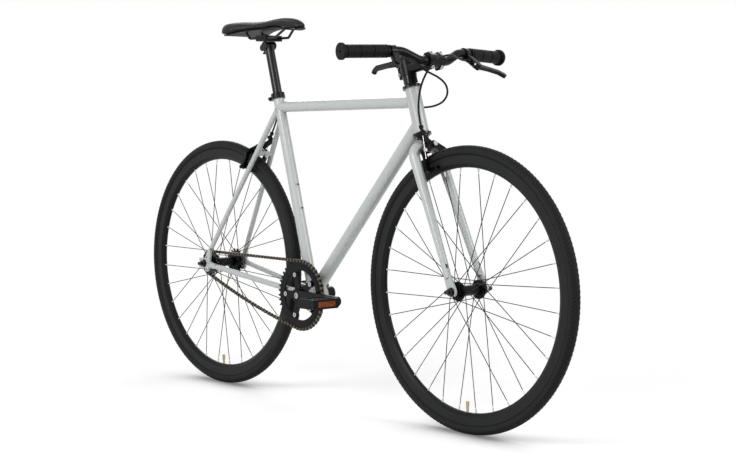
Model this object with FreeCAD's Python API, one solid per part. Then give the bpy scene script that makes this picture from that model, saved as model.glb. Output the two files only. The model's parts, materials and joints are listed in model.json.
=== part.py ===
import FreeCAD
import Part
import math
import os

os.makedirs("parts", exist_ok=True)

# Fixed gear bike. Millimetres, X forward, Y to the rider's left, Z up.
# The origin is on the floor, midway between the axles. The chain is on the right, at negative Y.

# Shared clearances
overrun = 5.0            # how far a cutting tool passes the piece
braze_gap = 0.05         # brazed or pressed pieces of one assembly
fit_gap = 0.15           # fixed pieces that are bolted or slid together
running_gap = 0.3        # pieces that turn or slide past each other

# Layout
wheelbase = 968.5
chainstay_length = 402.2
bottom_bracket_drop = 57.0
seat_tube_angle = 73.8
seat_tube_length = 543.0
head_angle = 72.0
fork_rake = 41.0
fork_length = 388.0      # along the steering axis, from the axle's foot to the crown race
front_hub_width = 100.0
rear_hub_width = 120.0
chain_line = 43.0

# Wheels
tyre_radius = 339.0
tyre_width = 28.0
tyre_wall = 2.0
tread_thickness = 3.5
bead_seat_radius = 311.0
rim_flange = 6.0
rim_depth = 30.0
rim_width = 19.0
rim_wall = 2.0
rim_bed_thickness = 1.6
brake_track = 20.0
rim_nose_width = 11.0
rim_nose_wall = 3.0
rim_nose_rise = 2.0            # of the nose's rounded edge
inner_tube_wall = 1.0
valve_radius = 3.0
valve_length = 62.0
valve_cap_radius = 4.0
valve_cap_length = 14.0
spokes_per_wheel = 32
crossings = 3
spoke_radius = 1.0
spoke_bend_radius = 1.6
spoke_stand = 2.5              # spoke past the flange's face, to clear its neighbours
spoke_head_radius = 1.9
spoke_head_length = 1.0
nipple_radius = 2.0
nipple_length = 13.0
nipple_head_radius = 3.0
nipple_head_length = 2.4
nipple_seat = 0.6              # above the rim's inner nose wall
nipple_access_radius = 4.5

# Hubs and axles
front_flange_radius = 23.0
rear_flange_radius = 26.0
flange_thickness = 3.2
flange_rim = 3.2         # from a spoke hole to the flange's edge
front_flange_spacing = 68.0
rear_flange_spacing = 66.0
hub_barrel_radius = 12.5
hub_end_radius = 15.5
hub_wall = 3.0
bearing_width = 8.0
axle_radius = 4.75
bearing_radius = 13.0
cone_radius = 8.5
cone_length = 16.0
hub_end_gap = 6.0              # from the hub's end to the frame or fork
axle_projection = 9.0    # past the outer face of the nut
nut_across = 15.0
nut_height = 8.0
washer_radius = 10.5
washer_thickness = 2.0

# Frame tubes
head_tube_radius = 18.3
head_tube_wall = 1.8
head_tube_length = 113.5
top_tube_radius = 14.0
top_tube_wall = 1.2
top_tube_rear_drop = 35.0      # below the seat tube's top, along the seat tube
top_tube_front_drop = 35.0     # below the head tube's top, along the head tube
down_tube_radius = 17.0
down_tube_wall = 1.2
down_tube_front_rise = 24.0    # above the head tube's bottom, along the head tube
seat_tube_radius = 14.3
seat_tube_wall = 1.4
shell_radius = 20.0
shell_wall = 3.0
shell_width = 68.0
chainstay_front_radius = 8.0
chainstay_rear_radius = 7.2
chainstay_spread = 21.0        # centre of a stay at the shell, from the middle plane
chainstay_wall = 1.2
chainstay_bridge_radius = 6.0
chainstay_bridge_place_share = 0.075
seatstay_top_radius = 7.5
seatstay_rear_radius = 6.2
seatstay_wall = 1.1
stay_seam_turn = 45.0          # puts the stays' seams away from their cut ends
seatstay_drop = 43.0           # below the seat tube's top, along the seat tube
seatstay_spread = 11.0         # centre of a stay at the seat tube
brake_bridge_radius = 6.5
brake_bridge_height = 361.0    # from the rear axle
boss_pitch = 64.0
boss_first_height = 228.0      # along the seat tube, from the bottom bracket
boss_radius = 5.5
boss_rise = 2.2
boss_thread_radius = 2.5
boss_depth = 11.0
guide_length = 12.0
guide_wall = 1.6
guide_stand = 1.0              # between the guide's ring and the tube
guide_stem_radius = 2.2
guide_lean_share = 0.6         # how much lower than level the guides sit on the tube
guide_place_shares = (0.09, 0.5, 0.88)

# Track ends
dropout_thickness = 6.0
dropout_prong = 9.0            # height of each prong beside the slot
dropout_slot_front = 14.0      # from the axle forward to the slot's closed end
dropout_slot_rear = 20.0       # from the axle back to the prong's ends
dropout_nose = 27.0            # from the axle forward to the plate's front edge
eyelet_radius = 2.5
eyelet_height = 16.6
eyelet_forward = 11.0
eyelet_rim = 4.0

# Bottom bracket
cup_flange_radius = 21.5
cup_flange_thickness = 2.5
cup_length = 18.0
spindle_radius = 8.5
spindle_length = 110.0
spindle_square = 12.0
spindle_square_length = 22.0

# Seat collar
collar_radius = 18.4
collar_height = 15.0
collar_lip = 2.0
collar_ear_length = 11.0
collar_ear_width = 9.0
collar_ear_height = 10.0
collar_slit = 2.4
collar_bolt_radius = 2.5
collar_bolt_head_radius = 4.2
collar_bolt_head = 4.0

# Chain and sprockets
chain_pitch = 12.7
ring_teeth = 44
cog_teeth = 16
roller_radius = 3.87
tooth_gap = 0.2                # between a roller and the tooth gap
tooth_height = 3.6             # above the pitch circle
tooth_tip_width = 2.0
ring_thickness = 3.0
ring_step_thickness = 1.0      # the raised inner band of the chainring
ring_step_radius = 78.0
ring_window_radius = 65.0
bolt_circle_radius = 55.0
ring_tab_radius = 9.0
ring_bolt_radius = 4.0
ring_bolt_head_radius = 6.0
ring_bolt_head = 1.6
ring_nut_length = 3.0
chain_inner_width = 3.6        # between the inner plates
chain_plate = 1.1
chain_plate_gap = 0.12
inner_plate_radius = 4.1
outer_plate_radius = 3.7
pin_radius = 1.8
pin_bore_gap = 0.2
pin_projection = 0.5
cog_hub_radius = 19.5
cog_thickness = 3.0
lockring_radius = 20.0
lockring_thickness = 4.0
freewheel_core_radius = 19.0
freewheel_body_length = 7.0
freewheel_body_radius = 24.0

# Cranks and pedals
crank_length = 165.0
crank_turn = 0.0               # degrees above level, right crank
crank_boss_radius = 17.0
crank_boss_length = 22.0
crank_arm_offset = 8.0         # arm's inner face, out from the boss's inner face
crank_boss_gap = 1.5           # from the bottom bracket cup
crank_root_width = 28.0
crank_tip_width = 24.0
crank_thickness = 13.0
crank_splay = 10.0             # how far the pedal end stands out past the boss end
crank_edge = 3.0
spider_thickness = 5.0
spider_root_width = 26.0
spider_tip_width = 15.0
crank_bolt_radius = 4.0
crank_bolt_head_radius = 8.0
crank_bolt_head = 4.0
pedal_spindle_radius = 7.0
pedal_stub = 9.0               # bare spindle between the crank and the pedal body
pedal_length = 84.0
pedal_width = 66.0
pedal_height = 24.0
pedal_rail = 9.0
pedal_barrel_radius = 12.0
pedal_end_thickness = 11.0
pedal_tooth = 2.5
pedal_tooth_pitch = 8.0
reflector_height = 13.0
reflector_thickness = 5.0
reflector_length = 54.0

# Headset, stem and handlebar
cup_radius = 23.0
lower_stack = 9.0
upper_stack = 10.0
upper_cover = 4.0              # turning cover over the upper cup
cup_skirt = 8.0
headset_bearing_radius = 20.0
headset_bearing_width = 5.0
spacer_radius = 17.5
spacer_height = 10.0
spacers = 2
steerer_radius = 14.3
steerer_wall = 2.0
crown_race_radius = 18.0
crown_race_height = 3.0
stem_length = 90.0
stem_drop_angle = 7.6
stem_clamp_height = 40.0
stem_clamp_radius = 18.3
stem_neck_radius = 14.5
stem_neck_wall = 3.0
bar_clamp_radius = 12.7
bar_clamp_wall = 5.0
bar_clamp_width = 46.0
faceplate_gap = 2.0
stem_bolt_radius = 2.5
stem_bolt_head_radius = 4.2
stem_bolt_head = 4.5
stem_bolt_pitch = 30.0
pinch_slit = 2.5
pinch_boss_width = 14.0
pinch_boss_depth = 12.0
pinch_bolt_places_share = 0.25    # of the clamp's height, above and below its middle
top_cap_height = 4.0
top_cap_bolt_radius = 3.0
star_nut_depth = 22.0
star_nut_thickness = 6.0
steerer_top_gap = 2.0          # steerer below the stem's top
bar_radius = 11.1
bar_wall = 2.0
bar_bulge = 30.0               # half length of the thicker middle
bar_low_half = 44.0            # half length of the low middle
bar_rise = 21.0
bar_rise_run = 48.0            # sideways, over the rise
bar_rise_back = 11.0
bar_grip_run = 165.0           # sideways, from the rise to the end
bar_grip_back = 24.0
bar_grip_fall = 5.0
bar_bend_radius = 48.0
grip_length = 128.0
grip_radius = 15.6
grip_flange_radius = 20.0
grip_flange_thickness = 6.0
grip_end_thickness = 3.0
grip_end_hole_radius = 3.0
grip_bands = 3
grip_band_groove = 1.2
grip_band_gap = 4.0

# Fork
blade_top_radius = 13.0
blade_tip_radius = 8.5
blade_wall = 1.4
blade_spread = 42.0            # blade centre below the crown bend, from the middle plane
crown_bend_radius = 32.0
crown_depth = 16.0             # from the crown race down to where the blades leave the steerer
crown_slope = 24.0             # degrees below level where a blade leaves the steerer
steerer_tail = 40.0            # steerer below the crown race
fork_tip_thickness = 6.0
fork_tip_radius = 13.0
fork_tip_length = 34.0

# Brakes
brake_bolt_radius = 3.0
brake_bolt_head = 5.0
brake_nut_radius = 5.0
brake_nut_length = 9.0
brake_seat = 19.0              # from the bolt's root to the first arm
arm_thickness = 7.0
arm_gap = 0.4
arm_hub_radius = 9.0
arm_half_width = 6.0
pad_drop = 61.0                # from the brake bolt down to the pad
pad_rest_gap = 1.8             # pad to rim, brake open
pad_thickness = 7.0
pad_height = 8.0
pad_length = 40.0
pad_holder_thickness = 3.0
pad_bolt_radius = 3.0
pad_bolt_head_radius = 5.0
pad_bolt_head = 4.0
arm_shoulder_out = 31.0
arm_shoulder_drop = 14.0
arm_leg_drop = 34.0
anchor_out = 36.0
anchor_drop = 16.0
barrel_out = 32.0
barrel_rise = 27.0
barrel_radius = 4.0
barrel_head_radius = 5.5
barrel_head = 6.0
barrel_length = 18.0
barrel_bore_radius = 2.8
anchor_bolt_radius = 4.5
anchor_bolt_length = 5.0
wire_radius = 0.8
wire_tail = 22.0
cable_radius = 2.5
ferrule_radius = 3.2
ferrule_length = 9.0
cable_lead = 20.0              # how far the housing runs straight out of its seats
cord_bend_share = 0.45
front_route = ((382.0, 61.0, 884.0), (393.0, 34.0, 889.0), (397.0, 7.0, 889.0), (393.0, -17.0, 880.0),
               (380.0, -32.0, 858.0), (364.0, -36.0, 832.0), (352.0, -35.5, 805.0), (345.0, -33.5, 775.0))
loop_route = ((370.0, -62.0, 871.0), (368.0, -40.0, 855.0), (369.0, -16.0, 846.0), (372.0, 10.0, 836.0),
              (372.0, 33.0, 820.0), (362.0, 48.0, 799.0), (342.0, 53.0, 780.0), (316.0, 47.0, 769.0),
              (289.0, 33.0, 766.0))
rear_route = ((-226.0, 24.0, 763.0), (-257.0, 29.0, 757.0), (-280.0, 32.0, 743.0))

# Brake levers
lever_place = 14.0             # bracket centre, inboard of the grip
lever_angle = 40.0             # degrees below level, seen from the side
lever_clamp_wall = 3.6
lever_clamp_width = 14.0
lever_reach = 46.0             # bar centre to the lever's pivot
lever_pivot_out = 8.0
lever_pivot_radius = 2.5
lever_thickness = 9.0
lever_cheek = 3.0
lever_length = 78.0
lever_flare = 28.0             # how much further from the bar the tip is than the pivot
lever_root_half = 7.0
lever_body_half = 7.5
lever_blade_half = 5.0
lever_tip_half = 6.0
lever_knee_shares = (0.25, 0.4)   # of the flare and the length
lever_hook_shares = (0.6, 0.84)
lever_barrel_in = 16.0         # barrel's end, inboard of the bracket
lever_barrel_reach = 27.0      # bar centre to the barrel

# Seatpost and saddle
post_radius = seat_tube_radius - seat_tube_wall - running_gap
post_wall = 2.2
post_exposed = 135.0           # from the seat tube's top to the saddle clamp's pivot
post_insertion = 125.0
post_head_radius = 11.0
post_head_length = 34.0
rail_radius = 3.5
rail_spread = 22.0             # rail centre from the middle plane
rail_low_length = 112.0
clamp_length = 42.0
clamp_width = 56.0
clamp_plate = 5.0              # under the rails
clamp_bolt_radius = 3.5
clamp_bolt_head_radius = 6.0
clamp_bolt_head = 5.0
saddle_length = 275.0
saddle_width = 146.0
saddle_depth = 41.0            # from the hump to the lowest edge
saddle_nose_ahead = 144.0      # nose tip ahead of the clamp's pivot
saddle_top_height = 72.5       # hump above the clamp's pivot
saddle_base_thickness = 3.0
saddle_base_width_share = 0.86
saddle_shares = (              # place from the nose, half width, top and edge below the hump
    (0.00, 0.14, 0.45, 0.73),
    (0.05, 0.23, 0.22, 0.78),
    (0.15, 0.27, 0.05, 0.78),
    (0.27, 0.30, 0.00, 0.65),
    (0.45, 0.40, 0.10, 0.64),
    (0.62, 0.62, 0.22, 0.73),
    (0.80, 0.93, 0.18, 0.88),
    (0.92, 1.00, 0.12, 1.00),
    (1.00, 0.82, 0.17, 0.93))
saddle_shoulder_share = 0.62
saddle_shoulder_drop_share = 0.14
saddle_side_share = 0.98
saddle_side_height_share = 0.5
rail_bend_radius = 12.0
rail_rise = 26.0               # past the base, where the rails bend up to it
rail_front_run = 38.0
rail_rear_run = 14.0
rail_front_spread = 13.0
rail_rear_spread = 30.0
clamp_split = 1.0              # between the two clamp plates, beside the rails
clamp_top_plate = 6.0
clamp_bolt_back = 17.0
clamp_ear_radius = 9.0
clamp_ear_drop = 5.0
clamp_ear_width = 22.0
clamp_bolt_play = 2.5
clamp_bolt_drop = 22.0


def vec(x, y, z):
    return FreeCAD.Vector(x, y, z)


def unit(vector):
    result = FreeCAD.Vector(vector)
    result.normalize()
    return result


def leaning(degrees):
    """Upward direction in the middle plane that leans back from the level by this angle."""
    return vec(-math.cos(math.radians(degrees)), 0, math.sin(math.radians(degrees)))


def rod(start, end, radius):
    return Part.makeCylinder(radius, (end - start).Length, start, end - start)


def pipe(start, end, radius, wall):
    along = unit(end - start) * overrun
    return rod(start, end, radius).cut(rod(start - along, end + along, radius - wall))


def cone(start, end, start_radius, end_radius):
    return Part.makeCone(start_radius, end_radius, (end - start).Length, start, end - start)


def tapered_pipe(start, end, start_radius, end_radius, wall):
    outside = cone(start, end, start_radius, end_radius)
    return outside.cut(cone(start, end, start_radius - wall, end_radius - wall))


def block(centre, x, y, z):
    return Part.makeBox(x, y, z, centre - vec(x / 2, y / 2, z / 2))


def joined(shapes):
    return shapes[0].multiFuse(shapes[1:]).removeSplitter()


def mirrored(shape):
    """The same piece on the other side of the bike."""
    return shape.mirror(vec(0, 0, 0), vec(0, 1, 0))


def turned(shape, centre, axis, degrees):
    copy = shape.copy()
    copy.rotate(centre, axis, degrees)
    return copy


def placed(shape, origin, x_axis, y_axis, z_axis):
    """Move a piece from its own axes to the given ones."""
    matrix = FreeCAD.Matrix(
        x_axis.x, y_axis.x, z_axis.x, origin.x,
        x_axis.y, y_axis.y, z_axis.y, origin.y,
        x_axis.z, y_axis.z, z_axis.z, origin.z)
    copy = shape.copy()
    copy.Placement = FreeCAD.Placement(matrix).multiply(copy.Placement)
    return copy


def prism(edges, direction):
    return Part.Face(Part.Wire(edges)).extrude(direction)


def polygon(points):
    return [Part.LineSegment(a, b).toShape() for a, b in zip(points, points[1:] + points[:1])]


def strap(first, second, first_radius, second_radius, depth):
    """Flat bar with round ends, extruded by the vector depth."""
    along = unit(second - first)
    across = unit(depth).cross(along)
    lean = math.acos((first_radius - second_radius) / (second - first).Length)
    side = across * math.sin(lean)
    forward = along * math.cos(lean)
    corners = [(centre + (forward + side * sign) * radius)
               for centre, radius in ((first, first_radius), (second, second_radius)) for sign in (1, -1)]
    edges = [
        Part.Arc(corners[0], first - along * first_radius, corners[1]).toShape(),
        Part.LineSegment(corners[1], corners[3]).toShape(),
        Part.Arc(corners[3], second + along * second_radius, corners[2]).toShape(),
        Part.LineSegment(corners[2], corners[0]).toShape()]
    return prism(edges, depth)


def hexagon(centre, axis, reference, across_flats, height):
    """Hexagonal prism that starts at centre and runs along axis."""
    corner = unit(reference) * (across_flats / math.sqrt(3))
    points = [centre + FreeCAD.Rotation(axis, 60 * step).multVec(corner) for step in range(6)]
    return prism(polygon(points), unit(axis) * height)


def bent_path(points, radii):
    """Straight runs joined by tangent arcs, one radius for each inner point."""
    edges = []
    here = points[0]
    for before, corner, after, radius in zip(points, points[1:], points[2:], radii):
        entering = unit(corner - before)
        leaving = unit(after - corner)
        half_turn = entering.getAngle(leaving) / 2
        setback = radius * math.tan(half_turn)
        start = corner - entering * setback
        end = corner + leaving * setback
        inward = unit(leaving - entering)
        middle = corner + inward * (radius / math.cos(half_turn) - radius)
        edges.append(Part.LineSegment(here, start).toShape())
        edges.append(Part.Arc(start, middle, end).toShape())
        here = end
    edges.append(Part.LineSegment(here, points[-1]).toShape())
    return Part.Wire(edges)


def swept(path, radius):
    """Round bar along a path."""
    first = path.Edges[0]
    start = first.valueAt(first.FirstParameter)
    profile = Part.Wire(Part.makeCircle(radius, start, first.tangentAt(first.FirstParameter)))
    return path.makePipeShell([profile], True, True)


def revolved(edges, centre, axis):
    return Part.Face(Part.Wire(edges)).revolve(centre, axis, 360)


def save(name, *solids):
    Part.makeCompound(list(solids)).exportStep("parts/" + name + ".step")
    for solid in solids:
        if not solid.isValid() or len(solid.Solids) != 1:
            print("check", name, "valid", solid.isValid(), "solids", len(solid.Solids))


# Main points and directions
across = vec(0, 1, 0)
rear_axle = vec(-wheelbase / 2, 0, tyre_radius)
front_axle = vec(wheelbase / 2, 0, tyre_radius)
bracket_run = math.sqrt(chainstay_length ** 2 - bottom_bracket_drop ** 2)
bracket = rear_axle + vec(bracket_run, 0, -bottom_bracket_drop)
seat_up = leaning(seat_tube_angle)
seat_back = vec(-seat_up.z, 0, seat_up.x)
seat_top = bracket + seat_up * seat_tube_length
steer_up = leaning(head_angle)
steer_fore = vec(steer_up.z, 0, -steer_up.x)
steer_foot = front_axle - steer_fore * fork_rake
head_bottom = steer_foot + steer_up * (fork_length + lower_stack)
head_top = head_bottom + steer_up * head_tube_length


def at_side(point, distance):
    return point + across * distance


def rear_end():
    """Track ends, chainstays, seatstays and the brake bridge."""
    plate_middle = rear_hub_width / 2 + dropout_thickness / 2
    stay_forward = unit(bracket - rear_axle)
    seatstay_foot = seat_top - seat_up * seatstay_drop
    stay_upward = unit(seatstay_foot - rear_axle)
    slot_half = axle_radius + fit_gap
    prong_height = slot_half + dropout_prong / 2
    tang = dropout_nose + 2 * chainstay_rear_radius
    inner_face = at_side(rear_axle, rear_hub_width / 2)
    depth = across * dropout_thickness

    def near_axle(forward, up):
        return inner_face + vec(forward, 0, up)

    solids = []
    for side in (1, -1):
        solids.append(strap(near_axle(-dropout_slot_rear, side * prong_height),
                            near_axle(dropout_slot_front, side * prong_height),
                            dropout_prong / 2, dropout_prong / 2, depth))
        solids.append(strap(near_axle(eyelet_forward, side * eyelet_height),
                            near_axle(dropout_slot_front, 0),
                            eyelet_radius + eyelet_rim, dropout_prong, depth))
    for direction, end_radius in ((stay_forward, chainstay_rear_radius),
                                  (stay_upward, seatstay_rear_radius)):
        solids.append(strap(near_axle(dropout_slot_front, 0), inner_face + direction * tang,
                            dropout_prong, end_radius, depth))
    plate = joined(solids)
    back_cut = overrun + dropout_slot_rear + dropout_prong
    cut_depth = across * (dropout_thickness + 2 * overrun)
    outside = across * overrun
    plate = plate.cut(strap(near_axle(-back_cut, 0) - outside, near_axle(0, 0) - outside,
                            slot_half, slot_half, cut_depth))
    for side in (1, -1):
        start = near_axle(eyelet_forward, side * eyelet_height) - outside
        plate = plate.cut(rod(start, start + cut_depth, eyelet_radius))
    plates = [plate, mirrored(plate)]

    def stay(front, rear, front_radius, rear_radius, wall, neighbour):
        tube = tapered_pipe(front, rear, front_radius, rear_radius, wall)
        tube = turned(tube, front, rear - front, stay_seam_turn).cut(neighbour)
        direction = vec(rear.x - rear_axle.x, 0, rear.z - rear_axle.z)
        gap_face = inner_face - across * braze_gap
        slot = strap(gap_face, gap_face + unit(direction) * tang, 2 * rear_radius, 2 * rear_radius,
                     across * (dropout_thickness + 2 * braze_gap))
        return tube.cut(slot)

    shell = rod(at_side(bracket, -shell_width), at_side(bracket, shell_width), shell_radius + braze_gap)
    seat = rod(bracket, seat_top + seat_up * overrun, seat_tube_radius + braze_gap)
    chainstay_ends = (at_side(bracket, chainstay_spread),
                      at_side(rear_axle + stay_forward * dropout_nose, plate_middle))
    seatstay_ends = (at_side(seatstay_foot, seatstay_spread),
                     at_side(rear_axle + stay_upward * dropout_nose, plate_middle))
    chainstay = stay(*chainstay_ends, chainstay_front_radius, chainstay_rear_radius, chainstay_wall, shell)
    seatstay = stay(*seatstay_ends, seatstay_top_radius, seatstay_rear_radius, seatstay_wall, seat)

    def filled(ends, front_radius, rear_radius):
        solid = cone(*ends, front_radius + braze_gap, rear_radius + braze_gap)
        return [solid, mirrored(solid)]

    bridge_run = (chainstay_ends[1] - chainstay_ends[0]) * chainstay_bridge_place_share
    bridge_run += unit(bridge_run) * (shell_radius + chainstay_bridge_radius)
    low_bridge = chainstay_ends[0] + bridge_run
    low_bridge = rod(low_bridge, vec(low_bridge.x, -low_bridge.y, low_bridge.z), chainstay_bridge_radius)
    for solid in filled(chainstay_ends, chainstay_front_radius, chainstay_rear_radius):
        low_bridge = low_bridge.cut(solid)
    stay_line = seatstay_ends[0] - seatstay_ends[1]
    share = (brake_bridge_height - dropout_nose) / stay_line.Length
    bridge_end = seatstay_ends[1] + stay_line * share
    bridge_middle = vec(bridge_end.x, 0, bridge_end.z)
    bridge = rod(bridge_end, vec(bridge_end.x, -bridge_end.y, bridge_end.z), brake_bridge_radius)
    for solid in filled(seatstay_ends, seatstay_top_radius, seatstay_rear_radius):
        bridge = bridge.cut(solid)
    brake_up = unit(bridge_middle - rear_axle)
    brake_out = vec(-brake_up.z, 0, brake_up.x)
    reach = brake_out * (brake_bridge_radius + overrun)
    bridge = bridge.cut(rod(bridge_middle - reach, bridge_middle + reach, brake_bolt_radius + fit_gap))
    save("dropouts", *plates)
    save("chainstays", chainstay, mirrored(chainstay), low_bridge)
    save("seatstays", seatstay, mirrored(seatstay), bridge)
    return bridge_middle, brake_out, brake_up


def main_tubes():
    """Head, top, down and seat tubes and the bottom bracket shell."""
    head = rod(head_bottom - steer_up * overrun, head_top + steer_up * overrun, head_tube_radius + braze_gap)
    seat = rod(bracket, seat_top + seat_up * overrun, seat_tube_radius + braze_gap)
    shell = rod(at_side(bracket, -shell_width), at_side(bracket, shell_width), shell_radius + braze_gap)
    top_rear = seat_top - seat_up * top_tube_rear_drop
    top_front = head_top - steer_up * top_tube_front_drop
    down_front = head_bottom + steer_up * down_tube_front_rise
    save("head_tube", pipe(head_bottom, head_top, head_tube_radius, head_tube_wall))
    save("bottom_bracket_shell", pipe(at_side(bracket, -shell_width / 2), at_side(bracket, shell_width / 2),
                                      shell_radius, shell_wall))
    down_tube = pipe(bracket, down_front, down_tube_radius, down_tube_wall)
    cup_room = rod(head_bottom - steer_up * (2 * cup_radius), head_bottom + steer_up * running_gap,
                   cup_radius + running_gap)
    save("down_tube", down_tube.cut([head, seat, shell, cup_room]))

    seat_tube = pipe(bracket, seat_top, seat_tube_radius, seat_tube_wall)
    seat_front = seat_back * -1
    bosses = []
    holes = []
    for step in (0, 1):
        foot = bracket + seat_up * (boss_first_height + step * boss_pitch)
        face = foot + seat_front * (seat_tube_radius + boss_rise)
        bosses.append(rod(face - seat_front * boss_depth, face, boss_radius))
        holes.append(rod(face - seat_front * (boss_depth + overrun), face + seat_front * overrun,
                         boss_thread_radius))
    slit_height = collar_height + collar_ear_height
    slit = block(vec(-seat_tube_radius, 0, 0), 2 * seat_tube_radius, collar_slit, slit_height)
    slit = placed(slit, seat_top - seat_up * (slit_height / 2 - collar_lip), seat_back * -1, across, seat_up)
    seat_tube = seat_tube.cut([shell, slit])
    save("seat_tube", joined([seat_tube] + bosses).cut(holes))
    return top_rear, top_front, head, seat


def top_tube(top_rear, top_front, head, seat):
    """Top tube with three brazed cable guides low on its left side."""
    along = unit(top_front - top_rear)
    tube = pipe(top_rear, top_front, top_tube_radius, top_tube_wall).cut([head, seat])
    down = along.cross(across)
    if down.z > 0:
        down = down * -1
    guide_out = unit(across + down * guide_lean_share)
    guide_reach = guide_out * (top_tube_radius + guide_stand + guide_wall + cable_radius)
    filled = rod(top_rear, top_front, top_tube_radius + braze_gap)
    guides = []
    for share in guide_place_shares:
        middle = top_rear + (top_front - top_rear) * share + guide_reach
        half = along * (guide_length / 2)
        guide = joined([rod(middle - half, middle + half, cable_radius + guide_wall),
                        rod(middle, middle - guide_reach, guide_stem_radius)])
        guides.append(guide.cut([filled, rod(middle - half * 2, middle + half * 2, cable_radius + fit_gap)]))
    save("top_tube", tube, *guides)
    return guide_reach


bridge_middle, rear_brake_out, rear_brake_up = rear_end()
top_rear, top_front, head_filled, seat_filled = main_tubes()
guide_offset = top_tube(top_rear, top_front, head_filled, seat_filled)


def pitch_radius(teeth):
    return chain_pitch / (2 * math.sin(math.pi / teeth))


def on_circle(centre, radius, angle):
    """Point at this angle, in radians from ahead towards the top."""
    return centre + vec(radius * math.cos(angle), 0, radius * math.sin(angle))


def solved(function, low, high):
    """Root of a function that rises from low to high."""
    for _ in range(60):
        middle = (low + high) / 2
        if function(middle) > 0:
            high = middle
        else:
            low = middle
    return (low + high) / 2


def chain_rollers():
    """Roller centres round the chain and the cog's turn that meets them."""
    ring_radius = pitch_radius(ring_teeth)
    cog_radius = pitch_radius(cog_teeth)
    ring = at_side(bracket, -chain_line)
    cog = at_side(rear_axle, -chain_line)
    line = cog - ring
    facing = math.atan2(line.z, line.x)
    opening = math.acos((ring_radius - cog_radius) / line.Length)
    ring_step = 2 * math.pi / ring_teeth
    cog_step = 2 * math.pi / cog_teeth
    first = math.radians(crank_turn)
    first += ring_step * math.floor((facing + opening - first) / ring_step)
    on_ring = math.ceil((facing - opening + 2 * math.pi - first) / ring_step)
    rollers = [on_circle(ring, ring_radius, first + ring_step * step) for step in range(on_ring + 1)]
    leaving = rollers[-1]

    def to_cog(turn):
        return (on_circle(cog, cog_radius, turn) - leaving).Length

    upper = facing - opening
    links = math.floor(to_cog(upper) / chain_pitch)
    cog_turn = solved(lambda turn: to_cog(turn) - links * chain_pitch, upper - 2 * cog_step, upper)
    run = unit(on_circle(cog, cog_radius, cog_turn) - leaving)
    rollers += [leaving + run * (chain_pitch * step) for step in range(1, links)]
    on_cog = math.ceil((facing + opening - cog_turn) / cog_step)
    rollers += [on_circle(cog, cog_radius, cog_turn + cog_step * step) for step in range(on_cog + 1)]
    last = rollers[-1]
    gap = rollers[0] - last
    links = math.ceil(gap.Length / chain_pitch)
    links += (len(rollers) - 1 + links) % 2
    lean = solved(lambda a: gap.Length / chain_pitch - math.sin(links * a) / math.sin(a),
                  math.pi / 10 ** 6, math.pi / links)
    sag = unit(gap).cross(across)
    if sag.z > 0:
        sag = sag * -1
    here = last
    for step in range(links - 1):
        tilt = (links - 1 - 2 * step) * lean
        here = here + (unit(gap) * math.cos(tilt) + sag * math.sin(tilt)) * chain_pitch
        rollers.append(here)
    print("chain links", len(rollers), "lower run slack", round(links * chain_pitch - gap.Length, 2))
    return rollers, cog_turn


def sprocket(centre, teeth, turn, thickness, bore):
    """Toothed plate, its middle at centre, with a gap of the teeth at the angle turn."""
    radius = pitch_radius(teeth)
    gap = roller_radius + tooth_gap
    step = 2 * math.pi / teeth
    near = centre - across * (thickness / 2)
    edges = []
    for number in range(teeth):
        angle = turn + number * step
        middle = on_circle(near, radius, angle)
        out = on_circle(vec(0, 0, 0), 1, angle)
        side = on_circle(vec(0, 0, 0), 1, angle + math.pi / 2)
        tip = on_circle(near, radius + tooth_height, angle + step / 2)
        tip_side = on_circle(vec(0, 0, 0), tooth_tip_width / 2, angle + step / 2 + math.pi / 2)
        following = on_circle(near, radius, angle + step)
        following -= on_circle(vec(0, 0, 0), gap, angle + step + math.pi / 2)
        corners = [middle + side * gap, tip - tip_side, tip + tip_side, following]
        edges.append(Part.Arc(middle - side * gap, middle - out * gap, corners[0]).toShape())
        edges += [Part.LineSegment(a, b).toShape() for a, b in zip(corners, corners[1:])]
    plate = prism(edges, across * thickness)
    return plate.cut(rod(centre - across * thickness, centre + across * thickness, bore))


def chain(rollers):
    """Inner and outer links in turn."""
    half = chain_inner_width / 2
    origin = vec(0, 0, 0)
    ahead = vec(chain_pitch, 0, 0)
    thick = across * chain_plate
    start = half + chain_plate + chain_plate_gap
    pin_end = start + chain_plate + pin_projection
    inner = []
    outer = []
    for side in (1, -1):
        near = across * (side * half)
        far = across * (side * start)
        inner.append(strap(near, ahead + near, inner_plate_radius, inner_plate_radius, thick * side))
        outer.append(strap(far, ahead + far, outer_plate_radius, outer_plate_radius, thick * side))
    bores = []
    for end in (origin, ahead):
        inner.append(rod(at_side(end, -half), at_side(end, half), roller_radius))
        bores.append(rod(at_side(end, -pin_end), at_side(end, pin_end), pin_radius + pin_bore_gap))
        outer.append(rod(at_side(end, -pin_end), at_side(end, pin_end), pin_radius))
    shapes = (joined(inner).cut(bores), joined(outer))
    links = []
    for number, (start, end) in enumerate(zip(rollers, rollers[1:] + rollers[:1])):
        along = unit(end - start)
        links.append(placed(shapes[number % 2], start, along, across, along.cross(across)))
    save("chain", *links)


roller_points, cog_turn = chain_rollers()
chain(roller_points)


def ring_edges(points):
    """Closed outline from points, where a triple in a tuple is an arc's middle and end."""
    edges = []
    here = points[0]
    for step in points[1:] + points[:1]:
        if isinstance(step, tuple):
            edges.append(Part.Arc(here, step[0], step[1]).toShape())
            here = step[1]
        else:
            edges.append(Part.LineSegment(here, step).toShape())
            here = step
    return edges


flange_top = bead_seat_radius + rim_flange
rim_inner = flange_top - rim_depth
rim_half = rim_width / 2
bead_half = rim_half - rim_wall - fit_gap
tyre_half = tyre_width / 2
tyre_middle = tyre_radius - tyre_half
tyre_foot = flange_top + 2 * running_gap
nipple_radius_out = rim_inner + rim_nose_wall + nipple_seat


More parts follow.
